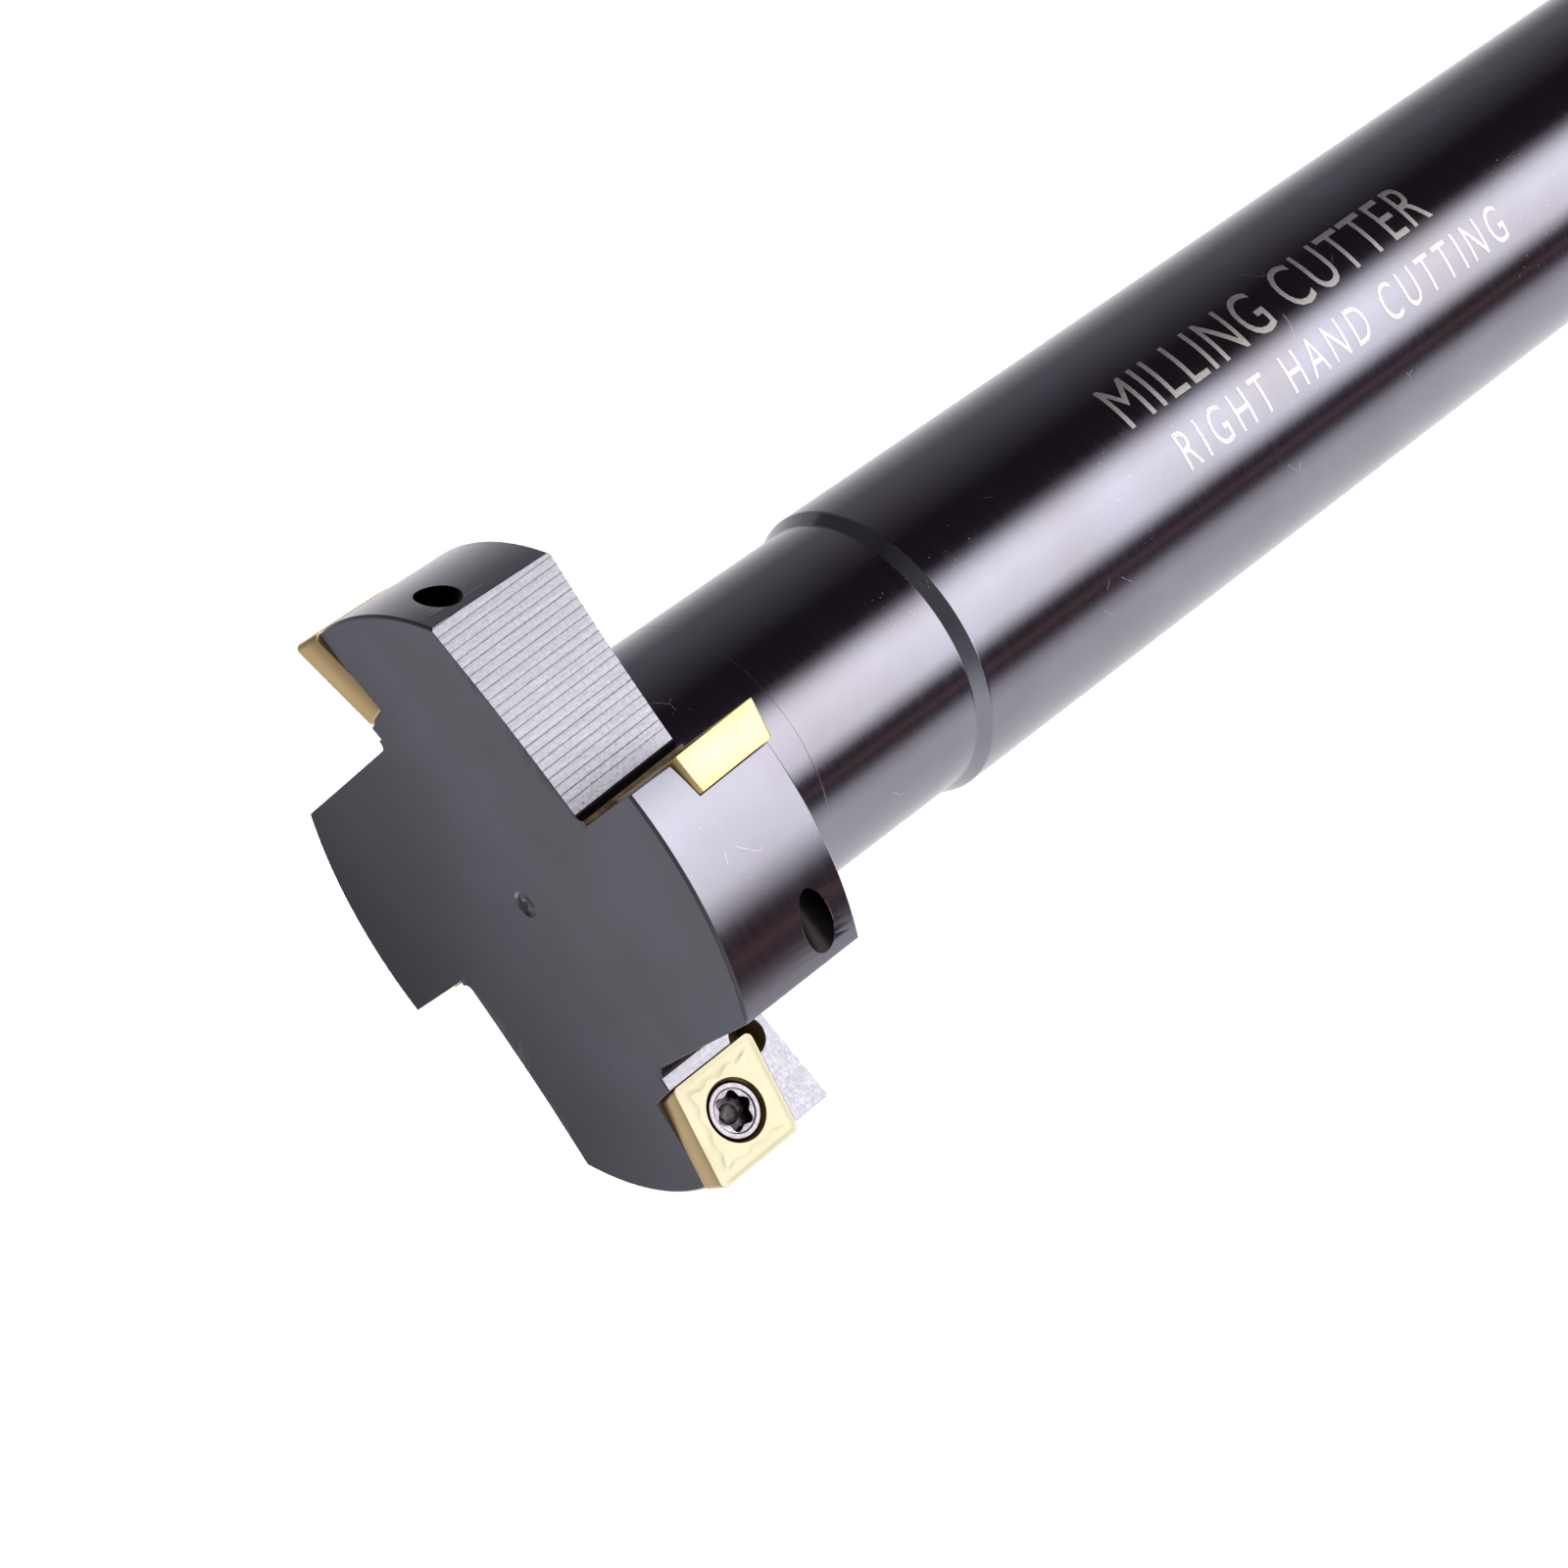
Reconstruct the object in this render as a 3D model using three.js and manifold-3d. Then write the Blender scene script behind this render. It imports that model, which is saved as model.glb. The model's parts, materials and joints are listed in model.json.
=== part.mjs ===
// A side-and-face milling cutter with a plain cylindrical shank. Four indexable inserts are screwed into
// a one-piece body, two cutting its front side and two its rear side. Millimetres, +Z up: the tool stands
// on the flat end of its shank, its axis is Z, and it cuts turning counterclockwise seen from above.
import * as THREE from "three";
import { mergeVertices } from "three/addons/utils/BufferGeometryUtils.js";
import Module from "manifold-3d";

const wasm = await Module();
wasm.setup();

// Whole tool
const OVERALL_LENGTH = 160;
const CUTTING_DIAMETER = 40;
const CUTTING_WIDTH = 10;
const TOOTH_COUNT = 4;

// Shank and neck
const SHANK_DIAMETER = 20;
const SHANK_END_CHAMFER = 1;
const NECK_DIAMETER = 18.9;
const NECK_LENGTH = 21.5;
const SHOULDER_CHAMFER_LENGTH = 0.9;
const NECK_ROOT_RADIUS = 0.8;

// Head: how far the inserts stand out of it, and how its two sides are dished inside the rim
const RIM_STANDOUT = 0.5;
const FRONT_STANDOUT = 0.45;
const REAR_STANDOUT = 0.65;
const DISH_DEPTH = 0.75;
const DISH_SLOPE_WIDTH = 5.5;

// Centre holes left from turning
const CENTRE_PILOT_DIAMETER = 1.6;
const CENTRE_PILOT_DEPTH = 3;
const SHANK_CENTRE_DIAMETER = 4;
const FACE_CENTRE_DIAMETER = 1.8;
const FACE_CENTRE_DEPTH = 0.5;

// Chip gullets
const RAKE_LAND_WIDTH = 1.44;
const GULLET_FILLET = 0.5;
const GULLET_STEP_HEIGHT = 0.25;
const GULLET_STEP_WIDTH = 0.55;
const LAND_DROP = 0.1;

// How the cutting edges stand
const RAKE_AHEAD_OF_CENTRE = 2.1;
const AXIAL_RAKE = THREE.MathUtils.degToRad(2.5);

// Inserts: positive 80 degree rhombic
const INSERT_INSCRIBED_CIRCLE = 6.35;
const INSERT_THICKNESS = 2.38;
const INSERT_CORNER_ANGLE = THREE.MathUtils.degToRad(80);
const INSERT_CLEARANCE_ANGLE = THREE.MathUtils.degToRad(7);
const INSERT_NOSE_RADIUS = 0.4;
const INSERT_COUNTERSINK_WIDENING = 1.1;
const INSERT_COUNTERSINK_DEPTH = 0.95;

// Insert screws: M2.5 with a six-lobe socket
const SCREW_THREAD_DIAMETER = 2.5;
const SCREW_LENGTH = 6;
const SCREW_HEAD_BELOW_FACE = 0.2;
const SCREW_HEAD_RIM = 0.1;
const SCREW_TIP_CHAMFER = 0.3;
const SOCKET_DIAMETER = 2.5;
const SOCKET_LOBE_DEPTH = 0.34;
const SOCKET_LOBES = 6;
const SOCKET_DEPTH = 0.9;

// Fits
const SEAT_GAP = 0.05;
const POCKET_WALL_GAP = 0.06;
const INSERT_HOLE_PLAY = 0.3;
const THREAD_GAP = 0.15;
const HEAD_SEAT_GAP = 0.1;
const POCKET_RELIEF_DIAMETER = 2.4;
const POCKET_RELIEF_BELOW_SEAT = 0.5;

// Facets
const ROUND_SEGMENTS = 72;
const SMALL_ROUND_SEGMENTS = 20;
const NOSE_SEGMENTS = 4;
const CUT_MARGIN = 1;

// Worked out from the sizes above
const CUTTING_RADIUS = CUTTING_DIAMETER / 2;
const CUTTING_REACH = Math.sqrt(CUTTING_RADIUS ** 2 - RAKE_AHEAD_OF_CENTRE ** 2);
const HEAD_RADIUS = CUTTING_RADIUS - RIM_STANDOUT;
const HEAD_FRONT = OVERALL_LENGTH - FRONT_STANDOUT;
const HEAD_BACK = OVERALL_LENGTH - CUTTING_WIDTH + REAR_STANDOUT;
const SHANK_TOP = HEAD_BACK - NECK_LENGTH;
const INSERT_EDGE = INSERT_INSCRIBED_CIRCLE / Math.sin(INSERT_CORNER_ANGLE);
const HALF_CORNER = INSERT_CORNER_ANGLE / 2;
const SIDE_FALL = Math.PI / 2 - INSERT_CORNER_ANGLE;
const SIDE_LEAN = Math.tan(INSERT_CLEARANCE_ANGLE);
const GULLET_FLOOR_DEPTH = INSERT_EDGE * Math.cos(SIDE_FALL) + RAKE_LAND_WIDTH;
const INSERT_HOLE_RADIUS = (SCREW_THREAD_DIAMETER + INSERT_HOLE_PLAY) / 2;
const COUNTERSINK_RADIUS = INSERT_HOLE_RADIUS + INSERT_COUNTERSINK_WIDENING / 2;
const COUNTERSINK_SLOPE = INSERT_COUNTERSINK_WIDENING / 2 / INSERT_COUNTERSINK_DEPTH;
const SCREW_SHANK_RADIUS = SCREW_THREAD_DIAMETER / 2 - THREAD_GAP;

function finish(color, roughness) {
  return new THREE.MeshStandardMaterial({ color, roughness, metalness: 0.9 });
}
const BLACKENED_STEEL = finish(0x2b2a30, 0.35);
const GOLD_COATING = finish(0xd9b45a, 0.3);
const SCREW_STEEL = finish(0x4a484c, 0.4);

// A closed geometry as a solid that can be joined and cut.
function toSolid(geometry) {
  const bare = geometry.clone();
  bare.deleteAttribute("normal");
  bare.deleteAttribute("uv");
  const merged = mergeVertices(bare, 1e-4);
  const kept = [];
  const corners = merged.index.array;
  for (let i = 0; i < corners.length; i += 3) {
    const [a, b, c] = corners.slice(i, i + 3);
    if (a !== b && b !== c && c !== a) kept.push(a, b, c);
  }
  const vertProperties = merged.attributes.position.array;
  const mesh = new wasm.Mesh({ numProp: 3, vertProperties, triVerts: new Uint32Array(kept) });
  return new wasm.Manifold(mesh);
}

function toGeometry(solid) {
  const mesh = solid.getMesh();
  const geometry = new THREE.BufferGeometry();
  geometry.setAttribute("position", new THREE.BufferAttribute(mesh.vertProperties, 3));
  geometry.setIndex(new THREE.BufferAttribute(mesh.triVerts, 1));
  geometry.computeVertexNormals();
  return geometry;
}

// A solid turned about Z from a profile of [radius, height] points, listed from the bottom up.
function turned(profile, segments) {
  const points = profile.map(([radius, height]) => new THREE.Vector2(radius, height));
  const geometry = new THREE.LatheGeometry(points, segments);
  geometry.rotateX(Math.PI / 2);
  return toSolid(geometry);
}

// A shape extruded from one height to another, its sides leaning outward by lean as they rise.
function prism(shape, bottom, top, curveSegments = NOSE_SEGMENTS) {
  const geometry = new THREE.ExtrudeGeometry(shape, {
    depth: top - bottom,
    bevelEnabled: false,
    curveSegments,
  });
  geometry.translate(0, 0, bottom);
  return geometry;
}

// Where each tooth stands: its angle, and whether its insert cuts the front or the rear side.
function toothAt(index) {
  const isFront = index % 2 === 0;
  return { angle: (index / TOOTH_COUNT) * 2 * Math.PI, side: isFront ? 1 : -1 };
}

// The directions and the cutting corner of a tooth. The edge that cuts the slot's bottom runs along
// the axis, and the edge that cuts its side falls back by what the corner lacks of 90 degrees.
function cuttingCorner({ angle, side }) {
  const radial = new THREE.Vector3(Math.cos(angle), Math.sin(angle), 0);
  const ahead = new THREE.Vector3(-Math.sin(angle), Math.cos(angle), 0);
  const outward = new THREE.Vector3(0, 0, side);
  const roundingLoss = INSERT_NOSE_RADIUS * (1 / Math.tan(HALF_CORNER) - 1);
  const sideHeight = side > 0 ? OVERALL_LENGTH : OVERALL_LENGTH - CUTTING_WIDTH;
  const corner = new THREE.Vector3(0, 0, sideHeight + side * roundingLoss)
    .addScaledVector(radial, CUTTING_REACH)
    .addScaledVector(ahead, RAKE_AHEAD_OF_CENTRE);
  const alongAxis = outward.clone().multiplyScalar(-Math.cos(AXIAL_RAKE));
  alongAxis.addScaledVector(ahead, -Math.sin(AXIAL_RAKE));
  const faceNormal = ahead.clone().multiplyScalar(Math.cos(AXIAL_RAKE));
  faceNormal.addScaledVector(outward, -Math.sin(AXIAL_RAKE));
  return { radial, corner, alongAxis, faceNormal };
}

// A rake frame: origin at the cutting corner, X along the radius, Z out of the rake face.
function rakeFrame(tooth) {
  const { radial, corner, faceNormal } = cuttingCorner(tooth);
  const across = faceNormal.clone().cross(radial);
  return new THREE.Matrix4().makeBasis(radial, across, faceNormal).setPosition(corner);
}

// A seat frame: origin at the middle of the insert's underside, X towards the cutting corner, Z out of
// the seat along the screw.
function seatFrame(tooth) {
  const { radial, corner, alongAxis, faceNormal } = cuttingCorner(tooth);
  const inward = radial.clone().multiplyScalar(-Math.cos(SIDE_FALL));
  inward.addScaledVector(alongAxis, Math.sin(SIDE_FALL));
  const halfDiagonal = alongAxis.clone().add(inward).multiplyScalar(INSERT_EDGE / 2);
  const middle = corner.clone().add(halfDiagonal);
  middle.addScaledVector(faceNormal, -INSERT_THICKNESS);
  const toCorner = halfDiagonal.clone().negate().normalize();
  const across = faceNormal.clone().cross(toCorner);
  return new THREE.Matrix4().makeBasis(toCorner, across, faceNormal).setPosition(middle);
}

function placed(solid, frame) {
  return solid.transform(frame.elements);
}

// The insert's outline at its rake face: a rhombus with rounded corners, cutting corner on +X.
function insertOutline() {
  const nose = INSERT_NOSE_RADIUS;
  const sharp = INSERT_EDGE * Math.cos(HALF_CORNER) - nose / Math.sin(HALF_CORNER);
  const blunt = INSERT_EDGE * Math.sin(HALF_CORNER) - nose / Math.cos(HALF_CORNER);
  const turn = Math.PI / 2 - HALF_CORNER;
  const shape = new THREE.Shape();
  shape.absarc(sharp, 0, nose, -turn, turn, false);
  shape.absarc(0, blunt, nose, turn, Math.PI - turn, false);
  shape.absarc(-sharp, 0, nose, Math.PI - turn, Math.PI + turn, false);
  shape.absarc(0, -blunt, nose, Math.PI + turn, 2 * Math.PI - turn, false);
  shape.closePath();
  return shape;
}

function makeInsert() {
  const blank = prism(insertOutline(), 0, INSERT_THICKNESS);
  const shrink = 1 - (2 * INSERT_THICKNESS * SIDE_LEAN) / INSERT_INSCRIBED_CIRCLE;
  const position = blank.attributes.position;
  for (let i = 0; i < position.count; i++) {
    const scale = position.getZ(i) < INSERT_THICKNESS / 2 ? shrink : 1;
    position.setXY(i, position.getX(i) * scale, position.getY(i) * scale);
  }
  const countersinkBottom = INSERT_THICKNESS - INSERT_COUNTERSINK_DEPTH;
  const hole = turned(
    [
      [0, -CUT_MARGIN],
      [INSERT_HOLE_RADIUS, -CUT_MARGIN],
      [INSERT_HOLE_RADIUS, countersinkBottom],
      [COUNTERSINK_RADIUS + COUNTERSINK_SLOPE * CUT_MARGIN, INSERT_THICKNESS + CUT_MARGIN],
      [0, INSERT_THICKNESS + CUT_MARGIN],
    ],
    SMALL_ROUND_SEGMENTS,
  );
  return toSolid(blank).subtract(hole);
}

// Six rounded lobes, as the driver's socket is cut.
function socketOutline() {
  const points = [];
  const steps = 4 * SOCKET_LOBES;
  const middle = SOCKET_DIAMETER / 2 - SOCKET_LOBE_DEPTH / 2;
  for (let i = 0; i < steps; i++) {
    const angle = (i / steps) * 2 * Math.PI;
    const radius = middle + (SOCKET_LOBE_DEPTH / 2) * Math.cos(SOCKET_LOBES * angle);
    points.push(new THREE.Vector2(radius * Math.cos(angle), radius * Math.sin(angle)));
  }
  return new THREE.Shape(points);
}

// The screw's head lies in the insert's countersink with a gap all round, and its tip in the body.
function makeScrew() {
  const top = INSERT_THICKNESS - SCREW_HEAD_BELOW_FACE;
  const tip = top - SCREW_LENGTH;
  const rimBottom = top - SCREW_HEAD_RIM;
  const belowFace = INSERT_THICKNESS - rimBottom;
  const headRadius = COUNTERSINK_RADIUS - COUNTERSINK_SLOPE * belowFace - HEAD_SEAT_GAP;
  const coneLength = (headRadius - SCREW_SHANK_RADIUS) / COUNTERSINK_SLOPE;
  const blank = turned(
    [
      [0, tip],
      [SCREW_SHANK_RADIUS - SCREW_TIP_CHAMFER, tip],
      [SCREW_SHANK_RADIUS, tip + SCREW_TIP_CHAMFER],
      [SCREW_SHANK_RADIUS, rimBottom - coneLength],
      [headRadius, rimBottom],
      [headRadius, top],
      [0, top],
    ],
    SMALL_ROUND_SEGMENTS,
  );
  const socket = prism(socketOutline(), top - SOCKET_DEPTH, top + CUT_MARGIN);
  return blank.subtract(toSolid(socket));
}

// Shank, neck and head turned in one piece, with both sides of the head dished so that only the rim
// and the inserts come near the walls of the slot.
function turnedBody() {
  const shank = SHANK_DIAMETER / 2;
  const neck = NECK_DIAMETER / 2;
  const dish = HEAD_RADIUS - DISH_SLOPE_WIDTH;
  const backDish = HEAD_BACK + DISH_DEPTH;
  const frontDish = HEAD_FRONT - DISH_DEPTH;
  const root = NECK_ROOT_RADIUS;
  const pilot = CENTRE_PILOT_DIAMETER / 2;
  const coneHeight = (SHANK_CENTRE_DIAMETER / 2 - pilot) * Math.sqrt(3);
  const profile = [
    [0, CENTRE_PILOT_DEPTH],
    [pilot, CENTRE_PILOT_DEPTH],
    [pilot, coneHeight],
    [SHANK_CENTRE_DIAMETER / 2, 0],
    [shank - SHANK_END_CHAMFER, 0],
    [shank, SHANK_END_CHAMFER],
    [shank, SHANK_TOP],
    [neck, SHANK_TOP + SHOULDER_CHAMFER_LENGTH],
    [neck, backDish - root],
    [neck + root * (1 - Math.SQRT1_2), backDish - root * (1 - Math.SQRT1_2)],
    [neck + root, backDish],
    [dish, backDish],
    [HEAD_RADIUS, HEAD_BACK],
    [HEAD_RADIUS, HEAD_FRONT],
    [dish, frontDish],
    [FACE_CENTRE_DIAMETER / 2, frontDish],
    [0, frontDish - FACE_CENTRE_DEPTH],
  ];
  return turned(profile, ROUND_SEGMENTS);
}

// What is milled away in front of a tooth, in its rake frame: an L of rake wall and floor, with a low
// step left along the floor.
function gulletCut() {
  const floor = -GULLET_FLOOR_DEPTH;
  const step = floor + GULLET_STEP_WIDTH;
  const filletX = floor + GULLET_FILLET;
  const filletY = GULLET_STEP_HEIGHT + GULLET_FILLET;
  const far = CUTTING_DIAMETER;
  const length = CUTTING_WIDTH + CUT_MARGIN;
  const shape = new THREE.Shape();
  shape.moveTo(far, -LAND_DROP);
  shape.lineTo(far, far);
  shape.lineTo(floor, far);
  shape.lineTo(floor, filletY);
  shape.absarc(filletX, filletY, GULLET_FILLET, Math.PI, 1.5 * Math.PI);
  shape.lineTo(step, GULLET_STEP_HEIGHT);
  shape.lineTo(step, -LAND_DROP);
  shape.closePath();
  const cut = prism(shape, -length, length);
  cut.rotateX(Math.PI / 2);
  return toSolid(cut);
}

// The insert's pocket, in its seat frame: open to the periphery and to the side that is cut. Its two
// walls stand off the insert by one gap and lean as the insert's sides do.
function pocketCut() {
  const lean = SIDE_LEAN / Math.sin(HALF_CORNER);
  const seatReach = INSERT_EDGE * Math.cos(HALF_CORNER) - INSERT_THICKNESS * lean;
  const apex = -seatReach - POCKET_WALL_GAP / Math.sin(HALF_CORNER);
  const wall = 3 * INSERT_EDGE;
  const wallX = wall * Math.cos(HALF_CORNER);
  const wallY = wall * Math.sin(HALF_CORNER);
  const shape = new THREE.Shape();
  shape.moveTo(apex, 0);
  shape.lineTo(apex + wallX, -wallY);
  shape.lineTo(apex + 2 * wallX, 0);
  shape.lineTo(apex + wallX, wallY);
  shape.closePath();
  const cut = prism(shape, -SEAT_GAP, INSERT_THICKNESS + CUT_MARGIN);
  cut.applyMatrix4(new THREE.Matrix4().makeShear(0, 0, 0, 0, -lean, 0));
  return toSolid(cut);
}

// The tapped hole, which runs out through the back of the tooth.
function screwHoleCut() {
  const radius = SCREW_THREAD_DIAMETER / 2;
  const profile = [
    [0, -HEAD_RADIUS],
    [radius, -HEAD_RADIUS],
    [radius, CUT_MARGIN],
    [0, CUT_MARGIN],
  ];
  return turned(profile, SMALL_ROUND_SEGMENTS);
}

// A drilled relief where the pocket's two walls meet, so that the insert's sharp corner has room.
function cornerReliefCut() {
  const radius = POCKET_RELIEF_DIAMETER / 2;
  const top = INSERT_THICKNESS + CUT_MARGIN;
  const profile = [
    [0, -POCKET_RELIEF_BELOW_SEAT],
    [radius, -POCKET_RELIEF_BELOW_SEAT],
    [radius, top],
    [0, top],
  ];
  const backCorner = INSERT_NOSE_RADIUS - INSERT_EDGE * Math.cos(HALF_CORNER);
  return turned(profile, SMALL_ROUND_SEGMENTS).translate([backCorner, 0, 0]);
}

function makeBody() {
  let body = turnedBody();
  for (let i = 0; i < TOOTH_COUNT; i++) {
    const tooth = toothAt(i);
    const seat = seatFrame(tooth);
    body = body.subtract(placed(gulletCut(), rakeFrame(tooth)));
    for (const cut of [pocketCut(), cornerReliefCut(), screwHoleCut()]) {
      body = body.subtract(placed(cut, seat));
    }
  }
  return body;
}

function addMesh(parent, name, solid, material) {
  const mesh = new THREE.Mesh(toGeometry(solid), material);
  mesh.name = name;
  parent.add(mesh);
  return mesh;
}

const cutter = new THREE.Group();
addMesh(cutter, "cutter_body", makeBody(), BLACKENED_STEEL);

const insert = makeInsert();
const screw = makeScrew();
for (let i = 0; i < TOOTH_COUNT; i++) {
  const seat = new THREE.Group();
  seatFrame(toothAt(i)).decompose(seat.position, seat.quaternion, seat.scale);
  addMesh(seat, `insert_${i + 1}`, insert, GOLD_COATING);
  addMesh(seat, `insert_screw_${i + 1}`, screw, SCREW_STEEL);
  cutter.add(seat);
}

export default cutter;
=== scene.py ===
# %% [markdown]
# # A side and face milling cutter
# The tool stands on the end of its shank with its axis on Z. A blackened steel body carries four
# gold coated inserts, each held by one small screw. The CAD model is the frame: every size below is
# either read from it or is one of the sizes that it was built from, and each finished piece here
# stands for one CAD node.

# %% Load the frame
import math
import random

import bmesh
import bpy
from mathutils import Matrix, Vector
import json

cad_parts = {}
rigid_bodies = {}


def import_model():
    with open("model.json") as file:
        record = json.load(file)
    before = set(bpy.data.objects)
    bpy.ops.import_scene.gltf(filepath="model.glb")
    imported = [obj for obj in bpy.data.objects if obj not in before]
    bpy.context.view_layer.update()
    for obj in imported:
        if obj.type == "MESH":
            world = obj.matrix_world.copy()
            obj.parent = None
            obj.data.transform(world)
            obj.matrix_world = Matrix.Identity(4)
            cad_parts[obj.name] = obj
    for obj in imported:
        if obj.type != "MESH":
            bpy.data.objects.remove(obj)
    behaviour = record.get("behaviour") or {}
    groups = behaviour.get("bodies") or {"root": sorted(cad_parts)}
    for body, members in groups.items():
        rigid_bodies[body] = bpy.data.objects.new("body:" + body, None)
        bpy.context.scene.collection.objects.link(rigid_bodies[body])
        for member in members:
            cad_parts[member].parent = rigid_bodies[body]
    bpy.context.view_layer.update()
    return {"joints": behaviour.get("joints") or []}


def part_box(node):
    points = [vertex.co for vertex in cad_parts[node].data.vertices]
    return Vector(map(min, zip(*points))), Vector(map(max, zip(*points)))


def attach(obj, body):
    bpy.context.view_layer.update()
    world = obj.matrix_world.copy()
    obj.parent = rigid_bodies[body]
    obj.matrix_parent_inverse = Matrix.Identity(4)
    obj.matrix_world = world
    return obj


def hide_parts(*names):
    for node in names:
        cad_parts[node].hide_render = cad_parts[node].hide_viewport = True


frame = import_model()

# %% [markdown]
# ## Sizes
# All lengths are in metres, so they are written as millimetres times MM. The ends of the body come
# from its box. The rest are the maker's own sizes: a 20 mm shank, a neck turned down a little so that
# the shank can be pushed deep into a slot, and inserts of the common 6.35 mm inscribed circle.

# %% Name the sizes
MM = 0.001
_, body_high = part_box("cutter_body")
HEAD_FRONT = body_high.z

SHANK_RADIUS = 10 * MM
SHANK_END_CHAMFER = 1 * MM
NECK_RADIUS = 9.45 * MM
NECK_LENGTH = 21.5 * MM
SHOULDER_LENGTH = 0.9 * MM
NECK_ROOT_RADIUS = 0.8 * MM
NECK_LINE_ABOVE_SHOULDER = 13.6 * MM
HEAD_RADIUS = 19.5 * MM
HEAD_WIDTH = 8.9 * MM
DISH_DEPTH = 0.9 * MM
HEAD_BACK = HEAD_FRONT - HEAD_WIDTH
SHANK_TOP = HEAD_BACK - NECK_LENGTH

INSERT_CIRCLE = 6.35 * MM
INSERT_THICKNESS = 2.38 * MM
INSERT_NOSE = 0.4 * MM
CORNER_ANGLE = math.radians(80)
CLEARANCE = math.radians(7)
INSERT_EDGE = INSERT_CIRCLE / math.sin(CORNER_ANGLE)
HALF_CORNER = CORNER_ANGLE / 2
SIDE_FALL = math.pi / 2 - CORNER_ANGLE
HOLE_RADIUS = 1.4 * MM
SINK_RADIUS = 1.95 * MM
SINK_DEPTH = 0.95 * MM
SINK_SLOPE = (SINK_RADIUS - HOLE_RADIUS) / SINK_DEPTH
print("head", round(HEAD_BACK / MM, 2), "to", round(HEAD_FRONT / MM, 2), "mm up the tool")

# %% [markdown]
# ## Where each tooth stands
# Each insert lifts off its seat along its screw, so the frame's joints already say where the seats
# are: the slide's axis is the normal of the rake face, and the screw's hinge sits in the middle of the
# insert's underside. From these two a tooth's directions follow. The seat frame has its origin there,
# X towards the cutting corner and Z along the screw. The rake frame has its origin at the cutting
# corner, X along the radius and Z out of the rake face.

# %% Work out the seat and rake frames
joints = {joint["name"]: joint for joint in frame["joints"]}


def basis(x, z, origin):
    """A placement whose X and Z axes and origin are given."""
    place = Matrix((x, z.cross(x), z)).transposed().to_4x4()
    place.translation = origin
    return place


def tooth_frames(number):
    """The seat frame and the rake frame of one tooth."""
    normal = Vector(joints[f"insert_{number}_lift"]["axis"]).normalized()
    seat = Vector(joints[f"insert_screw_{number}_turn"]["pos_m"])
    ahead = Vector((normal.x, normal.y, 0)).normalized()
    radial = ahead.cross(Vector((0, 0, 1)))
    outward = Vector((0, 0, -1 if normal.z > 0 else 1))
    tilt = math.asin(abs(normal.z))
    along = -outward * math.cos(tilt) - ahead * math.sin(tilt)
    inward = along * math.sin(SIDE_FALL) - radial * math.cos(SIDE_FALL)
    half_diagonal = (along + inward) * INSERT_EDGE / 2
    corner = seat + normal * INSERT_THICKNESS - half_diagonal
    return basis(-half_diagonal.normalized(), normal, seat), basis(radial, normal, corner)


TEETH = (1, 2, 3, 4)
frames = {number: tooth_frames(number) for number in TEETH}
for number, (seat, _) in frames.items():
    print("seat", number, [round(c / MM, 2) for c in seat.translation], "mm")

# %% [markdown]
# ## Helpers for turned and milled shapes
# Nearly every surface of a cutting tool is either turned or milled, so two helpers make most of it.
# A turned shape is a profile spun about Z: the profile is a chain of points, and its corners are
# rounded first with a vertex bevel, because no turned edge is perfectly sharp. A milled shape is a
# flat outline extruded to a height. Both could be primitives with edits, but a profile keeps each
# size in one place.

# %% Turn a profile, and extrude an outline
def tidy(bm, distance=1e-7):
    """Merges what a full turn left double, and points every face outwards."""
    bmesh.ops.remove_doubles(bm, verts=bm.verts, dist=distance)
    bmesh.ops.recalc_face_normals(bm, faces=bm.faces)
    return bm


def turned(profile, steps, breaks=()):
    """Spins points of (radius, height) about Z. Breaks are (point number, size) of rounded corners."""
    bm = bmesh.new()
    chain = [bm.verts.new((radius, 0, height)) for radius, height in profile]
    for pair in zip(chain, chain[1:]):
        bm.edges.new(pair)
    for index, size in breaks:
        bmesh.ops.bevel(
            bm, geom=[chain[index]], offset=size, offset_type="OFFSET", segments=3,
            profile=0.5, affect="VERTICES", material=-1,
        )
    bmesh.ops.spin(
        bm, geom=bm.verts[:] + bm.edges[:], cent=(0, 0, 0), axis=(0, 0, 1), dvec=(0, 0, 0),
        angle=2 * math.pi, steps=steps, use_merge=True,
    )
    return tidy(bm)


def extruded(outline, low, high, slide=(0, 0)):
    """A flat outline of (x, y) points raised from low to high, its top moved sideways by slide."""
    bm = bmesh.new()
    face = bm.faces.new([bm.verts.new((x, y, low)) for x, y in outline])
    raised = bmesh.ops.extrude_face_region(bm, geom=[face])["geom"]
    top = [part for part in raised if isinstance(part, bmesh.types.BMVert)]
    bmesh.ops.translate(bm, verts=top, vec=(*slide, high - low))
    return tidy(bm)


def arc(x, y, radius, start, end, steps):
    """Points of (x, y) along a round corner, both ends included."""
    angles = [start + (end - start) * i / steps for i in range(steps + 1)]
    return [(x + radius * math.cos(a), y + radius * math.sin(a)) for a in angles]


print("helpers ready: turned, extruded, arc")

# %% [markdown]
# ## Helpers for cutting and finishing
# Holes and pockets are cut with the Boolean modifier's exact solver, as a milling cutter would take
# them out. The alternative, building the pockets into the mesh by hand, would need every crossing
# curve worked out. The cutter's faces keep their own material number, so a freshly cut wall knows
# that it is bare steel. Afterwards a Bevel modifier breaks each sharp edge by a few hundredths, which
# catches the light as a fine bright line. Shading is smooth, with normals weighted by face area, so a
# flat face next to a narrow bevel stays flat. All modifiers are applied at once, so a finished piece
# is a plain mesh with no object placement.

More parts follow.
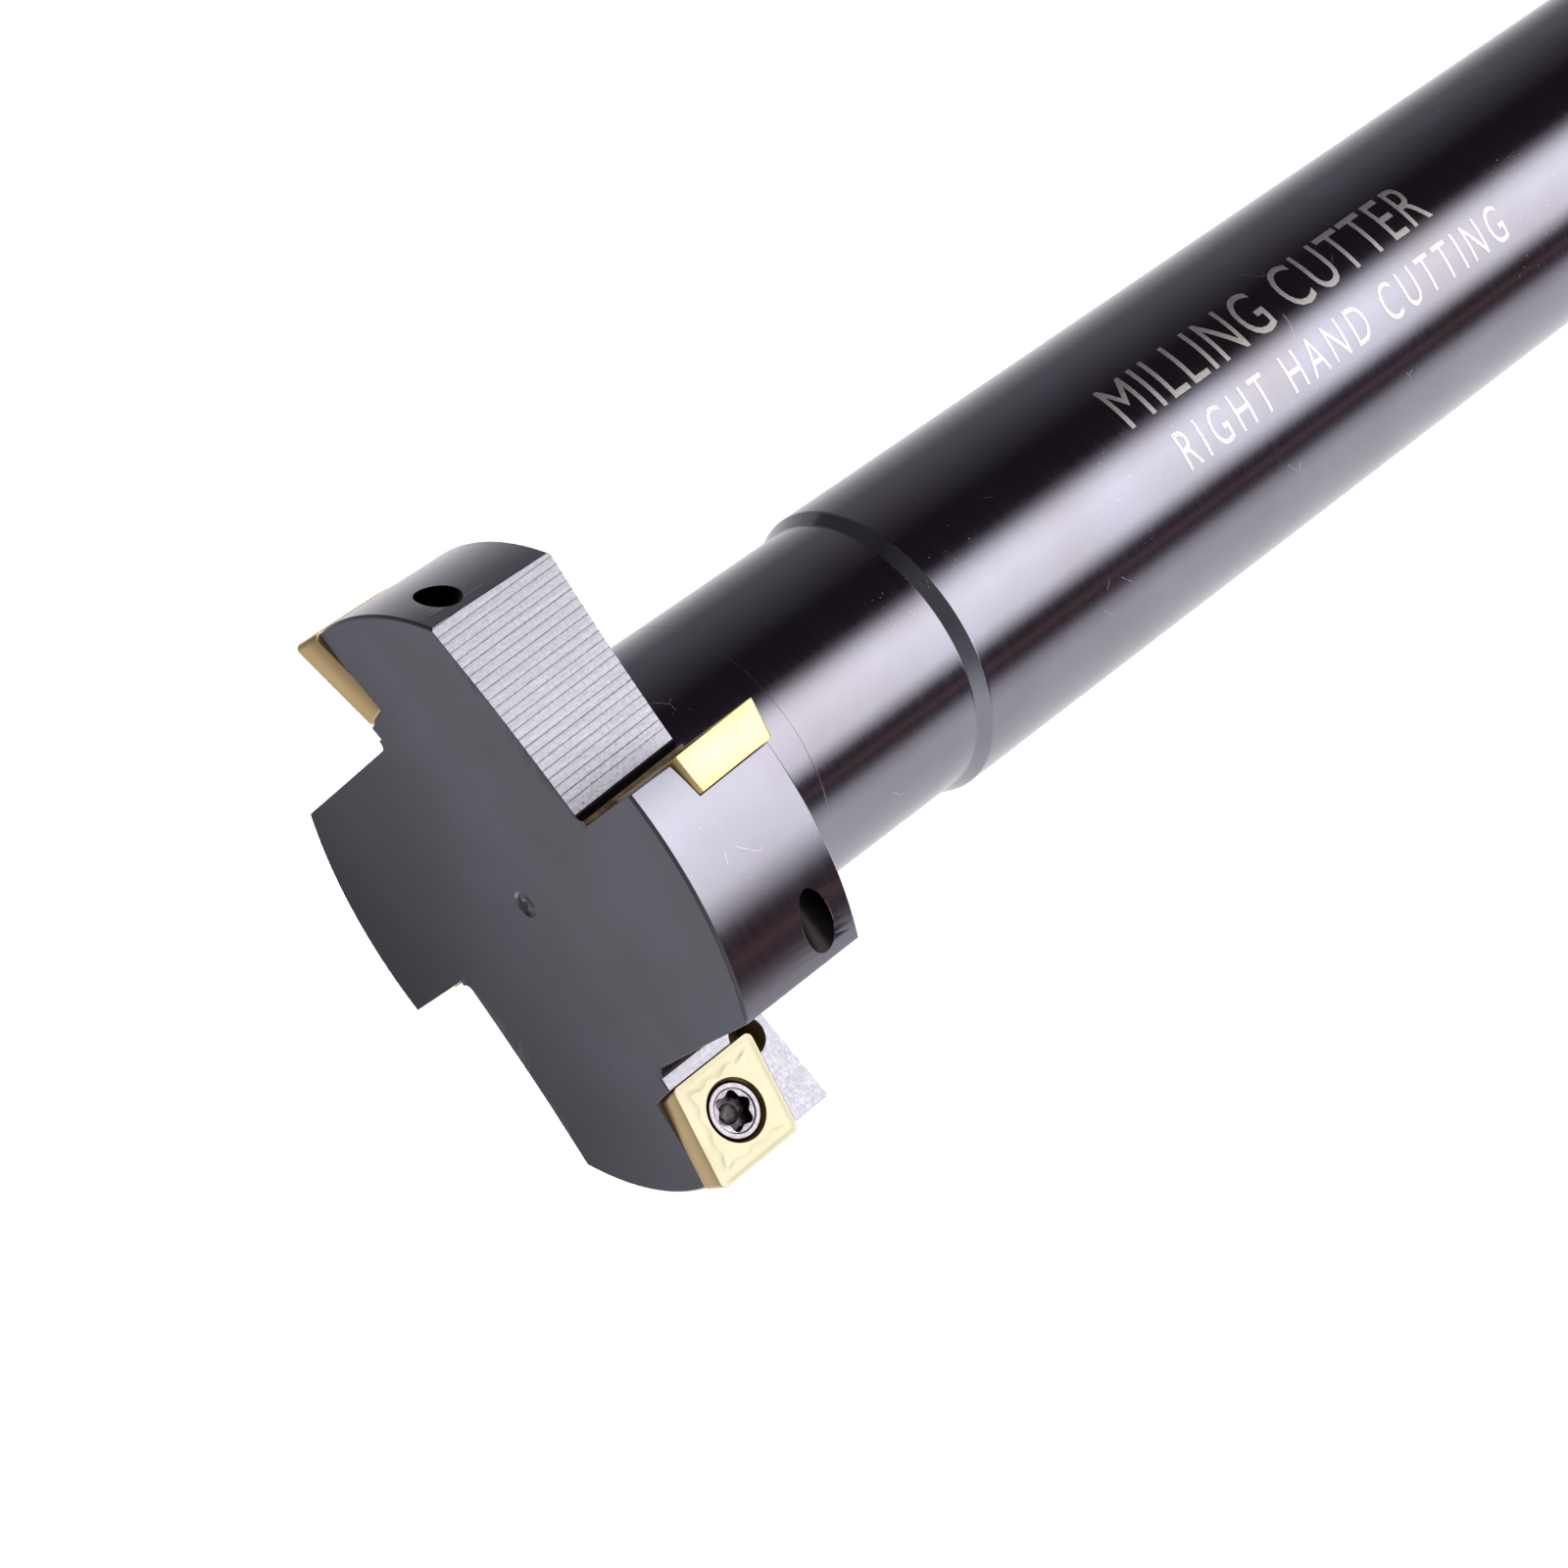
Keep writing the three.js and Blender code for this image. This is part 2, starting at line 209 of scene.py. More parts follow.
# %% Make objects, cut them and bevel them
def make_object(name, bm, materials=()):
    """A linked object from a bmesh."""
    mesh = bpy.data.meshes.new(name)
    bm.to_mesh(mesh)
    bm.free()
    for material in materials:
        mesh.materials.append(material)
    made = bpy.data.objects.new(name, mesh)
    bpy.context.scene.collection.objects.link(made)
    return made


def apply_modifiers(piece):
    """Replaces a piece's mesh with what its modifiers make of it."""
    bpy.context.view_layer.update()
    evaluated = piece.evaluated_get(bpy.context.evaluated_depsgraph_get())
    made = bpy.data.meshes.new_from_object(evaluated)
    piece.modifiers.clear()
    old, piece.data = piece.data, made
    bpy.data.meshes.remove(old)
    made.name = piece.name


def cut(piece, cutter):
    """Takes the cutter's volume out of the piece, and removes the cutter."""
    boolean = piece.modifiers.new("cut", "BOOLEAN")
    boolean.operation, boolean.solver, boolean.object = "DIFFERENCE", "EXACT", cutter
    boolean.material_mode = "INDEX"
    apply_modifiers(piece)
    bpy.data.objects.remove(cutter)


def break_edges(piece, width, angle, slivers=0.002 * MM, segments=2):
    """Merges the slivers that cutting leaves, and bevels every edge sharper than the angle."""
    bm = bmesh.new()
    bm.from_mesh(piece.data)
    bmesh.ops.remove_doubles(bm, verts=bm.verts, dist=slivers)
    bmesh.ops.dissolve_degenerate(bm, edges=bm.edges, dist=0.001 * MM)
    bm.to_mesh(piece.data)
    bm.free()
    bevel = piece.modifiers.new("broken edges", "BEVEL")
    bevel.width, bevel.segments, bevel.limit_method = width, segments, "ANGLE"
    bevel.angle_limit = math.radians(angle)
    bevel.use_clamp_overlap = False
    bevel.miter_outer = "MITER_ARC"
    apply_modifiers(piece)


def smooth(piece, angle):
    """Shades a piece smooth, and lets large faces set the normals so that flat ones stay flat."""
    piece.data.shade_smooth()
    piece.data.set_sharp_from_angle(angle=math.radians(angle))
    weighted = piece.modifiers.new("flat faces stay flat", "WEIGHTED_NORMAL")
    weighted.keep_sharp, weighted.weight = True, 100
    apply_modifiers(piece)


def stand_for(piece, body, node):
    """Lets a finished piece move with its body, and shows it in place of its CAD node."""
    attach(piece, body)
    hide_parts(node)
    print(piece.name, len(piece.data.polygons), "faces, rides on", body)


# %% [markdown]
# ## Helpers for materials
# Every finish here is metal, so each material is one Principled shader with Metallic at 1 and a dark
# or bright base colour: blackened steel reflects about a quarter of the light, bare steel more than
# half. What makes metal look real is how its polish varies, so noise drives roughness, colour and a
# little bump. The noise reads Object coordinates, and a Mapping node stretches it into the direction
# in which the tool was turned, ground or milled. Image textures would need files.

# %% Build small node trees
def new_metal(name, colour, roughness):
    """A metal material, its node tree, and its Principled shader."""
    material = bpy.data.materials.new(name)
    material.use_nodes = True
    tree = material.node_tree
    shader = tree.nodes["Principled BSDF"]
    shader.inputs["Base Color"].default_value = (*colour, 1)
    shader.inputs["Metallic"].default_value = 1
    shader.inputs["Roughness"].default_value = roughness
    return material, tree, shader


def object_place(tree, scale=(1, 1, 1), turn=(0, 0, 0)):
    """Object coordinates, turned and stretched by a Mapping node."""
    coordinates = tree.nodes.new("ShaderNodeTexCoord")
    mapping = tree.nodes.new("ShaderNodeMapping")
    mapping.inputs["Scale"].default_value = scale
    mapping.inputs["Rotation"].default_value = turn
    tree.links.new(coordinates.outputs["Object"], mapping.inputs["Vector"])
    return mapping.outputs["Vector"]


def noise(tree, place, scale, detail=4, roughness=0.5):
    """A noise value from 0 to 1 over a place."""
    texture = tree.nodes.new("ShaderNodeTexNoise")
    texture.inputs["Scale"].default_value = scale
    texture.inputs["Detail"].default_value = detail
    texture.inputs["Roughness"].default_value = roughness
    tree.links.new(place, texture.inputs["Vector"])
    return texture.outputs["Fac"]


def spread(tree, value, low, high, start=0.0, end=1.0):
    """A value mapped from low..high to start..end, and held there beyond."""
    mapped = tree.nodes.new("ShaderNodeMapRange")
    tree.links.new(value, mapped.inputs["Value"])
    for socket, number in zip(("From Min", "From Max", "To Min", "To Max"), (low, high, start, end)):
        mapped.inputs[socket].default_value = number
    return mapped.outputs["Result"]


def math_node(tree, operation, first, second=0.0):
    """One Math node. Each operand is a socket or a number."""
    node = tree.nodes.new("ShaderNodeMath")
    node.operation = operation
    for socket, operand in zip(node.inputs, (first, second)):
        if isinstance(operand, (int, float)):
            socket.default_value = operand
        else:
            tree.links.new(operand, socket)
    return node.outputs["Value"]


def blend_colours(tree, fac, first, second):
    """The colour between two, either of which may be a socket."""
    mix = tree.nodes.new("ShaderNodeMix")
    mix.data_type = "RGBA"
    tree.links.new(fac, mix.inputs["Factor"])
    for socket, colour in ((mix.inputs[6], first), (mix.inputs[7], second)):
        if isinstance(colour, tuple):
            socket.default_value = (*colour, 1)
        else:
            tree.links.new(colour, socket)
    return mix.outputs[2]


def bump(tree, height, distance, strength=1.0, under=None):
    """A normal from a height value. Under is a normal that this bump lies on."""
    node = tree.nodes.new("ShaderNodeBump")
    node.inputs["Strength"].default_value = strength
    node.inputs["Distance"].default_value = distance
    tree.links.new(height, node.inputs["Height"])
    if under is not None:
        tree.links.new(under, node.inputs["Normal"])
    return node.outputs["Normal"]


def specks(tree, place, scale, size):
    """1 on small scattered specks and 0 elsewhere, from the distance to random points."""
    texture = tree.nodes.new("ShaderNodeTexVoronoi")
    texture.inputs["Scale"].default_value = scale
    texture.inputs["Randomness"].default_value = 1
    tree.links.new(place, texture.inputs["Vector"])
    return spread(tree, texture.outputs["Distance"], size, size * 0.6)


def around_axis(tree):
    """The distance from the tool's axis, from Object coordinates."""
    coordinates = tree.nodes.new("ShaderNodeTexCoord")
    parts = tree.nodes.new("ShaderNodeSeparateXYZ")
    tree.links.new(coordinates.outputs["Object"], parts.inputs["Vector"])
    squares = [math_node(tree, "POWER", parts.outputs[axis], 2.0) for axis in "XY"]
    return math_node(tree, "SQRT", math_node(tree, "ADD", *squares))


def as_vector(tree, value):
    """A value as the X of a vector, so that noise can run along it."""
    joined = tree.nodes.new("ShaderNodeCombineXYZ")
    tree.links.new(value, joined.inputs["X"])
    return joined.outputs["Vector"]


print("material helpers ready")

# %% [markdown]
# ## Blackened steel
# The body is ground, then blackened in a hot oxide bath. The oxide is thin, so the ground polish still
# mirrors the room, at about a quarter of its brightness and with a faint violet cast that turns
# brownish in patches. Fine grinding lines run round the tool, so the noise for them is stretched:
# slow round the tool and quick along it. A few pale specks of dust and nicks sit on it.

# %% Material: blackened steel, ground
def scratches(tree, place, scale, width):
    """Thin lines, nearly straight: the borders between cells of a slightly warped cell pattern."""
    warp = tree.nodes.new("ShaderNodeTexNoise")
    warp.inputs["Scale"].default_value = scale * 1.7
    tree.links.new(place, warp.inputs["Vector"])
    bend = tree.nodes.new("ShaderNodeVectorMath")
    bend.operation = "SCALE"
    bend.inputs["Scale"].default_value = 0.3 / scale
    tree.links.new(warp.outputs["Color"], bend.inputs[0])
    moved = tree.nodes.new("ShaderNodeVectorMath")
    tree.links.new(place, moved.inputs[0])
    tree.links.new(bend.outputs[0], moved.inputs[1])
    cells = tree.nodes.new("ShaderNodeTexVoronoi")
    cells.feature = "DISTANCE_TO_EDGE"
    cells.inputs["Scale"].default_value = scale
    tree.links.new(moved.outputs[0], cells.inputs["Vector"])
    return spread(tree, cells.outputs["Distance"], width, width * 0.4)


def blackened_ground():
    material, tree, shader = new_metal("blackened_ground_steel", (0.25, 0.245, 0.285), 0.18)
    patches = noise(tree, object_place(tree), 130, detail=3)
    cloudy = spread(tree, patches, 0.35, 0.7)
    tint = blend_colours(tree, cloudy, (0.262, 0.26, 0.3), (0.246, 0.226, 0.252))
    gate = spread(tree, noise(tree, object_place(tree), 95, detail=2), 0.54, 0.62)
    dust = specks(tree, object_place(tree), 1900, 0.1)
    hair = scratches(tree, object_place(tree), 260, 0.006)
    few = spread(tree, noise(tree, object_place(tree), 300, detail=1), 0.68, 0.71)
    marks = math_node(tree, "MAXIMUM", math_node(tree, "MULTIPLY", dust, gate),
                      math_node(tree, "MULTIPLY", hair, few))
    colour = blend_colours(tree, marks, tint, (0.55, 0.5, 0.52))
    tree.links.new(colour, shader.inputs["Base Color"])
    lines = noise(tree, object_place(tree, (60, 60, 5200)), 1, detail=6, roughness=0.65)
    polish = spread(tree, lines, 0.3, 0.75, 0.11, 0.18)
    rough = math_node(tree, "ADD", polish, math_node(tree, "MULTIPLY", marks, 0.3))
    tree.links.new(rough, shader.inputs["Roughness"])
    waves = noise(tree, object_place(tree, (90, 90, 420)), 1, detail=2)
    crossing = noise(tree, object_place(tree, (70, 70, 3600), (0.3, 0.12, 0)), 1, detail=2)
    fine = math_node(tree, "ADD", lines, math_node(tree, "MULTIPLY", crossing, 0.6))
    mottle = noise(tree, object_place(tree), 1300, detail=3)
    normal = bump(tree, fine, 0.6e-6)
    normal = bump(tree, waves, 4.5e-6, under=normal)
    normal = bump(tree, mottle, 2.2e-6, under=normal)
    tree.links.new(normal, shader.inputs["Normal"])
    return material


BLACK_GROUND = blackened_ground()
print("made", BLACK_GROUND.name)

# %% [markdown]
# The two sides of the head are turned, not ground, so the same oxide looks satin there: dark slate,
# with rings too fine to count. The rings are noise along the distance from the axis. The front side
# is darker towards +Y: the base colour falls off that way.

# %% Material: blackened steel, turned
def blackened_turned():
    material, tree, shader = new_metal("blackened_turned_steel", (0.2, 0.2, 0.23), 0.3)
    patches = noise(tree, object_place(tree), 95, detail=5)
    cloudy = spread(tree, patches, 0.3, 0.72)
    tint = blend_colours(tree, cloudy, (0.178, 0.178, 0.22), (0.152, 0.148, 0.172))
    coordinates = tree.nodes.new("ShaderNodeTexCoord")
    parts = tree.nodes.new("ShaderNodeSeparateXYZ")
    tree.links.new(coordinates.outputs["Object"], parts.inputs["Vector"])
    hung = spread(tree, parts.outputs["Y"], -0.004, 0.018)
    tree.links.new(blend_colours(tree, hung, tint, (0.068, 0.064, 0.08)), shader.inputs["Base Color"])
    radius = math_node(tree, "MULTIPLY", around_axis(tree), 5200.0)
    rings = noise(tree, as_vector(tree, radius), 1, detail=4, roughness=0.6)
    grain = noise(tree, object_place(tree), 9000, detail=2)
    rough = spread(tree, math_node(tree, "ADD", rings, patches), 0.7, 1.3, 0.26, 0.34)
    tree.links.new(rough, shader.inputs["Roughness"])
    normal = bump(tree, rings, 1.5e-6)
    normal = bump(tree, grain, 1.2e-6, under=normal)
    tree.links.new(normal, shader.inputs["Normal"])
    return material


BLACK_TURNED = blackened_turned()
print("made", BLACK_TURNED.name)

# %% [markdown]
# ## Bare milled steel
# The gullets and the insert pockets are bare and bright, so they were probably milled after the
# blackening. Milling along the tool's axis leaves long parallel streaks, and the steel has small dark
# pits where chips were dragged. The streaks are noise that is slow along Z and quick across it.

# %% Material: bare milled steel
def bare_milled():
    material, tree, shader = new_metal("bare_milled_steel", (0.46, 0.45, 0.49), 0.46)
    streaks = noise(tree, object_place(tree, (5200, 5200, 260)), 1, detail=5, roughness=0.6)
    grain = noise(tree, object_place(tree), 5200, detail=3)
    light = blend_colours(tree, spread(tree, streaks, 0.3, 0.7), (0.42, 0.405, 0.45), (0.51, 0.5, 0.545))
    pits = specks(tree, object_place(tree, (1, 1, 0.6)), 1100, 0.09)
    gate = spread(tree, noise(tree, object_place(tree), 300, detail=1), 0.56, 0.6)
    pits = math_node(tree, "MULTIPLY", pits, gate)
    tree.links.new(blend_colours(tree, pits, light, (0.14, 0.13, 0.135)), shader.inputs["Base Color"])
    tree.links.new(spread(tree, grain, 0.3, 0.7, 0.4, 0.54), shader.inputs["Roughness"])
    normal = bump(tree, streaks, 1.2e-6)
    normal = bump(tree, grain, 1.5e-6, under=normal)
    tree.links.new(normal, shader.inputs["Normal"])
    return material


BARE_MILLED = bare_milled()
print("made", BARE_MILLED.name)

# %% [markdown]
# The rest of the cut surfaces are darker. Lines between the passes of the end mill are darkened, a
# painted shade in the grooves. The step at a gullet's foot is brown, a painted reflection of the insert's
# gold, and the drilled corners are brown. The foot and the screw holes are a dull black, a painted shade
# in these hollows. Each is a plain material of its own, because they meet at crisp edges that a painted
# pattern would blur.

# %% Materials: lines, steps and holes
def scored_line():
    """The lines between the passes of the end mill, darkened: a painted shade in the grooves."""
    material, tree, shader = new_metal("scored_steel_painted_shade", (0.27, 0.25, 0.27), 0.5)
    grain = noise(tree, object_place(tree), 5200, detail=3)
    tint = blend_colours(tree, spread(tree, grain, 0.3, 0.7), (0.34, 0.32, 0.35), (0.2, 0.19, 0.205))
    tree.links.new(tint, shader.inputs["Base Color"])
    return material


def step_painted_reflection():
    """The step at the gullet's foot in brown: a painted reflection of the insert's gold."""
    material, tree, shader = new_metal("brown_oxide", (0.1, 0.07, 0.045), 0.34)
    patchy = noise(tree, object_place(tree), 1500, detail=3)
    tint = blend_colours(tree, spread(tree, patchy, 0.3, 0.7), (0.115, 0.08, 0.05), (0.06, 0.04, 0.028))
    tree.links.new(tint, shader.inputs["Base Color"])
    return material


def relief_oxide():
    """Oxide in the drilled corners, left rough by the drill: a lighter, dull brown."""
    return new_metal("rough_brown_oxide", (0.3, 0.21, 0.11), 0.75)[0]


def painted_shade_black():
    """A dull black in the gullet's foot and the screw holes: a painted shade in these hollows."""
    return new_metal("painted_shade_black", (0.026, 0.02, 0.022), 0.42)[0]


BODY_MATERIALS = (
    BLACK_GROUND, BLACK_TURNED, BARE_MILLED, scored_line(), step_painted_reflection(), relief_oxide(), painted_shade_black(),
)
GROUND, TURNED, MILLED, SCORED, STEP, RELIEF, SHADE_BLACK = range(7)
print("made", [material.name for material in BODY_MATERIALS])

# %% [markdown]
# ## Gold coating
# The inserts are sintered carbide with a titanium nitride coating a few thousandths thick. It keeps
# the carbide's fine grain, so it is a soft gold, not a mirror: the grain is a small bump, and the
# polish and the hue drift a little from place to place. The top faces the brightest light, so it gets
# a painted lit copy of the gold, rougher, duller and paler, because the richer gold would burn out to
# a flat yellow and hide the chip breaker. Inside the hole the coating is a dark brown, a painted shade.

# %% Materials: titanium nitride
def gold_coated(name, rich, pale, polish):
    """The coating between two hues, with the lowest and highest roughness of its grain."""
    material, tree, shader = new_metal(name, rich, polish[0])
    drift = noise(tree, object_place(tree), 420, detail=3)
    hue = blend_colours(tree, spread(tree, drift, 0.3, 0.7), pale, rich)
    tree.links.new(hue, shader.inputs["Base Color"])
    grain = noise(tree, object_place(tree), 16000, detail=3)
    tree.links.new(spread(tree, grain, 0.3, 0.7, *polish), shader.inputs["Roughness"])
    tree.links.new(bump(tree, grain, 1.0e-6), shader.inputs["Normal"])
    return material


def hole_painted_shade():
    """A dark brown inside the hole: a painted shade."""
    material, tree, shader = new_metal("hole_brown_painted_shade", (0.2, 0.125, 0.05), 0.4)
    drift = noise(tree, object_place(tree), 1500, detail=3)
    hue = blend_colours(tree, spread(tree, drift, 0.3, 0.7), (0.23, 0.15, 0.06), (0.15, 0.09, 0.035))
    tree.links.new(hue, shader.inputs["Base Color"])
    return material


INSERT_MATERIALS = (
    gold_coated("gold_coating", (0.9, 0.65, 0.3), (0.95, 0.71, 0.37), (0.32, 0.4)),
    gold_coated("gold_painted_light_top", (0.62, 0.565, 0.385), (0.67, 0.615, 0.435), (0.46, 0.54)),
    hole_painted_shade(),
)
GOLD, LIT_TOP_GOLD, HOLE_SHADE = range(3)
print("made", [material.name for material in INSERT_MATERIALS])

# %% [markdown]
# ## Screw steel and the engraving
# The screws are blackened too, but the head's flat face and rim take a bright copy of the steel, a
# painted highlight. The marking on the shank looks burnt in by laser, which leaves a pale, dull, finely
# pitted line.

# %% Materials: screws and marking
def screw_black():
    material, tree, shader = new_metal("blackened_screw_steel", (0.16, 0.135, 0.13), 0.3)
    worn = noise(tree, object_place(tree), 2600, detail=4)
    tint = blend_colours(tree, spread(tree, worn, 0.4, 0.75), (0.045, 0.037, 0.039), (0.13, 0.115, 0.12))
    tree.links.new(tint, shader.inputs["Base Color"])
    tree.links.new(spread(tree, worn, 0.3, 0.7, 0.24, 0.38), shader.inputs["Roughness"])
    return material


def screw_painted_highlight():
    material, tree, shader = new_metal("screw_steel_painted_highlight", (0.4, 0.37, 0.4), 0.3)
    highlight_mottle = noise(tree, object_place(tree), 5200, detail=4)
    tint = blend_colours(tree, spread(tree, highlight_mottle, 0.35, 0.7), (0.42, 0.385, 0.425), (0.27, 0.245, 0.26))
    tree.links.new(tint, shader.inputs["Base Color"])
    tree.links.new(bump(tree, highlight_mottle, 1.0e-6), shader.inputs["Normal"])
    return material


def laser_mark():
    material, tree, shader = new_metal("laser_mark", (0.62, 0.59, 0.56), 0.5)
    pitted = noise(tree, object_place(tree), 9000, detail=3)
    tint = blend_colours(tree, spread(tree, pitted, 0.3, 0.7), (0.5, 0.475, 0.45), (0.78, 0.75, 0.72))
    tree.links.new(tint, shader.inputs["Base Color"])
    tree.links.new(bump(tree, pitted, 3.0e-6), shader.inputs["Normal"])
    return material


SCREW_BLACK, SCREW_BRIGHT, LASER_MARK = screw_black(), screw_painted_highlight(), laser_mark()
SCREW_MATERIALS = (SCREW_BLACK, SCREW_BRIGHT)
print("made", SCREW_BLACK.name, SCREW_BRIGHT.name, LASER_MARK.name)

# %% [markdown]
# ## The body, turned
# Shank, neck and head are one piece of steel, turned between centres: there is a centre hole in the
# shank's end and a small centre mark in the middle of the head. Both sides of the head are dished, so
# that only the rim comes near the walls of a slot. One profile spun about Z gives all of it. The
# dishes are parabolas by formula, and the long runs are straight, because the oxide's noise gives the
# surface its life.

# %% Turn the body
ROUND_STEPS = 240
PILOT_RADIUS, PILOT_DEPTH = 0.8 * MM, 3 * MM
CENTRE_RADIUS = 2 * MM
CENTRE_CONE = (CENTRE_RADIUS - PILOT_RADIUS) * math.sqrt(3)
MARK_RADIUS, MARK_DEPTH, MARK_PIP = 0.9 * MM, 0.16 * MM, 0.35 * MM
LINE_WIDTH, LINE_DEPTH = 0.06 * MM, 0.03 * MM
HEAD_CHAMFER = 0.16 * MM


def dish(from_radius, to_radius, steps):
    """Points of (radius, depth below the rim) across a dished side of the head."""
    radii = [from_radius + (to_radius - from_radius) * i / steps for i in range(steps + 1)]
    rim = HEAD_RADIUS - HEAD_CHAMFER
    return [(radius, DISH_DEPTH * (1 - (radius / rim) ** 2)) for radius in radii]


def body_profile():
    """The body's profile from the shank's end to the middle of its front, and its rounded corners."""
    line = SHANK_TOP + NECK_LINE_ABOVE_SHOULDER
    rim = HEAD_RADIUS - HEAD_CHAMFER
    back = [(r, HEAD_BACK + depth) for r, depth in dish(NECK_RADIUS + NECK_ROOT_RADIUS, rim, 4)]
    front = [(r, HEAD_FRONT - depth) for r, depth in dish(rim, MARK_RADIUS, 5)]
    root = arc(NECK_RADIUS + NECK_ROOT_RADIUS, back[0][1] - NECK_ROOT_RADIUS, NECK_ROOT_RADIUS,
               math.pi, math.pi / 2, 6)
    below = [
        (0, PILOT_DEPTH),
        (PILOT_RADIUS, PILOT_DEPTH - PILOT_RADIUS / 2),
        (PILOT_RADIUS, CENTRE_CONE),
        (CENTRE_RADIUS, 0),
        (SHANK_RADIUS - SHANK_END_CHAMFER, 0),
        (SHANK_RADIUS, SHANK_END_CHAMFER),
        (SHANK_RADIUS, SHANK_TOP),
        (NECK_RADIUS, SHANK_TOP + SHOULDER_LENGTH),
        (NECK_RADIUS, line - LINE_WIDTH),
        (NECK_RADIUS - LINE_DEPTH, line),
        (NECK_RADIUS, line + LINE_WIDTH),
    ]
    edge = [(HEAD_RADIUS, HEAD_BACK + HEAD_CHAMFER), (HEAD_RADIUS, HEAD_FRONT - HEAD_CHAMFER)]
    mark_floor = front[-1][1] - MARK_DEPTH
    mark = [(MARK_RADIUS - MARK_DEPTH, mark_floor), (MARK_PIP, mark_floor + MARK_DEPTH / 2),
            (0, mark_floor - MARK_DEPTH)]
    breaks = [(3, 0.1), (4, 0.15), (5, 0.2), (6, 0.1), (7, 0.1)]
    profile = below + root[:-1] + back + edge + front + mark
    return profile, [(index, size * MM) for index, size in breaks]


profile, breaks = body_profile()
body = make_object("milling_cutter_body", turned(profile, ROUND_STEPS, breaks), BODY_MATERIALS)
print("turned body:", len(body.data.polygons), "faces,", round(body.dimensions.z / MM, 2), "mm long")

# %% [markdown]
# ## The gullets
# In front of each tooth a gullet is milled for the chips: an L of rake wall and floor. The end mill
# worked its way down in small steps, and each step left a fine line along the floor. Those lines
# are cut for real, as shallow grooves in the cutter's own outline, and darkened as a painted shade.
# Their depths and places differ a little, from a seeded random number, because a row of equal lines
# looks printed, and near the rim they are faint. The floor is bare steel, and its rounded foot is a
# painted shade in black.

# %% Mill the gullets
RAKE_LAND = 1.44 * MM
GULLET_FILLET = 0.5 * MM
STEP_HEIGHT, STEP_WIDTH = 0.25 * MM, 0.55 * MM
LAND_DROP = 0.1 * MM
FLOOR_DEPTH = INSERT_EDGE * math.cos(SIDE_FALL) + RAKE_LAND
RIDGE_PITCH, RIDGE_WIDTH = 0.55 * MM, 0.075 * MM
RIDGE_SHALLOW, RIDGE_DEEP = 0.006 * MM, 0.0125 * MM
SCORED_BELOW = 14.6 * MM
FAR = 30 * MM
CUT_LENGTH = 11 * MM


def gullet_outline(rng):
    """The gullet's section: x along the radius, y ahead of the rake face."""
    floor = -FLOOR_DEPTH
    outline = [(FAR, -LAND_DROP), (FAR, FAR), (floor, FAR)]
    height = HEAD_RADIUS
    while height > STEP_HEIGHT + GULLET_FILLET + RIDGE_PITCH:
        depth = rng.uniform(RIDGE_SHALLOW, RIDGE_DEEP) * (1 if height < SCORED_BELOW else 0.2)
        outline += [
            (floor, height + RIDGE_WIDTH / 2),
            (floor - depth, height),
            (floor, height - RIDGE_WIDTH / 2),
        ]
        height -= RIDGE_PITCH * rng.uniform(0.94, 1.06)
    outline += arc(floor + GULLET_FILLET, STEP_HEIGHT + GULLET_FILLET, GULLET_FILLET,
                   math.pi, 1.5 * math.pi, 6)
    return outline + [(floor + STEP_WIDTH, STEP_HEIGHT), (floor + STEP_WIDTH, -LAND_DROP)]


def joined_cutters(name, parts, material_index=None):
    """One cutter object from several bmeshes, whose faces may bring their own material numbers."""
    whole = bmesh.new()
    for part in parts:
        mesh = bpy.data.meshes.new("part")
        part.to_mesh(mesh)
        whole.from_mesh(mesh)
        bpy.data.meshes.remove(mesh)
        part.free()
    if material_index is not None:
        for face in whole.faces:
            face.material_index = material_index
    return make_object(name, whole, BODY_MATERIALS)


def placed(bm, place):
    """Moves a bmesh into a tooth's frame."""
    bmesh.ops.transform(bm, matrix=place, verts=bm.verts)
    return bm


def gullet(number):
    """A gullet's volume in its tooth's place. The outline's y becomes the rake frame's Z."""
    rng = random.Random(number)
    milled = extruded(gullet_outline(rng), -CUT_LENGTH, CUT_LENGTH)
    for face in milled.faces:
        middle = face.calc_center_median()
        on_floor = middle.x < STEP_WIDTH - FLOOR_DEPTH + RIDGE_DEEP
        # The step takes the brown of a painted reflection of the insert's gold.
        if on_floor and middle.y < STEP_HEIGHT:
            face.material_index = STEP
        # The rounded foot is painted black: a painted shade in the corner.
        elif on_floor and middle.y < STEP_HEIGHT + GULLET_FILLET:
            face.material_index = SHADE_BLACK
        # The lines between passes are darkened: a painted shade in the grooves.
        elif on_floor and middle.y < SCORED_BELOW and face.normal.y and abs(face.normal.y) < 0.9:
            face.material_index = SCORED
        else:
            face.material_index = MILLED
    return placed(milled, frames[number][1] @ Matrix.Rotation(math.pi / 2, 4, "X"))


cut(body, joined_cutters("gullets", [gullet(number) for number in TEETH]))
print("gullets milled:", len(body.data.polygons), "faces")

# %% [markdown]
# ## The insert pockets
# Each insert lies in a pocket with two leaning walls that match its 7 degree sides. Where the walls
# meet, a drilled relief gives the sharp corner room. The screw's hole is tapped near the seat, bored
# as far as the screw's tip and then drilled through to the back of the tooth. The thread is a row of
# rings just outside the screw's own thread, which reads the same as a helix in so small a hole.

# %% Shape the cutters for pockets and holes
SEAT_GAP, WALL_GAP = 0.05 * MM, 0.06 * MM
RELIEF_RADIUS, RELIEF_DEPTH = 1.2 * MM, 0.5 * MM
THREAD_RADIUS, THREAD_PITCH, THREAD_CUT = 1.25 * MM, 0.45 * MM, 0.1 * MM
THREAD_END, BORE_END, DRILL_RADIUS = -2.5 * MM, -3.9 * MM, 1.05 * MM
HOLE_STEPS = 48


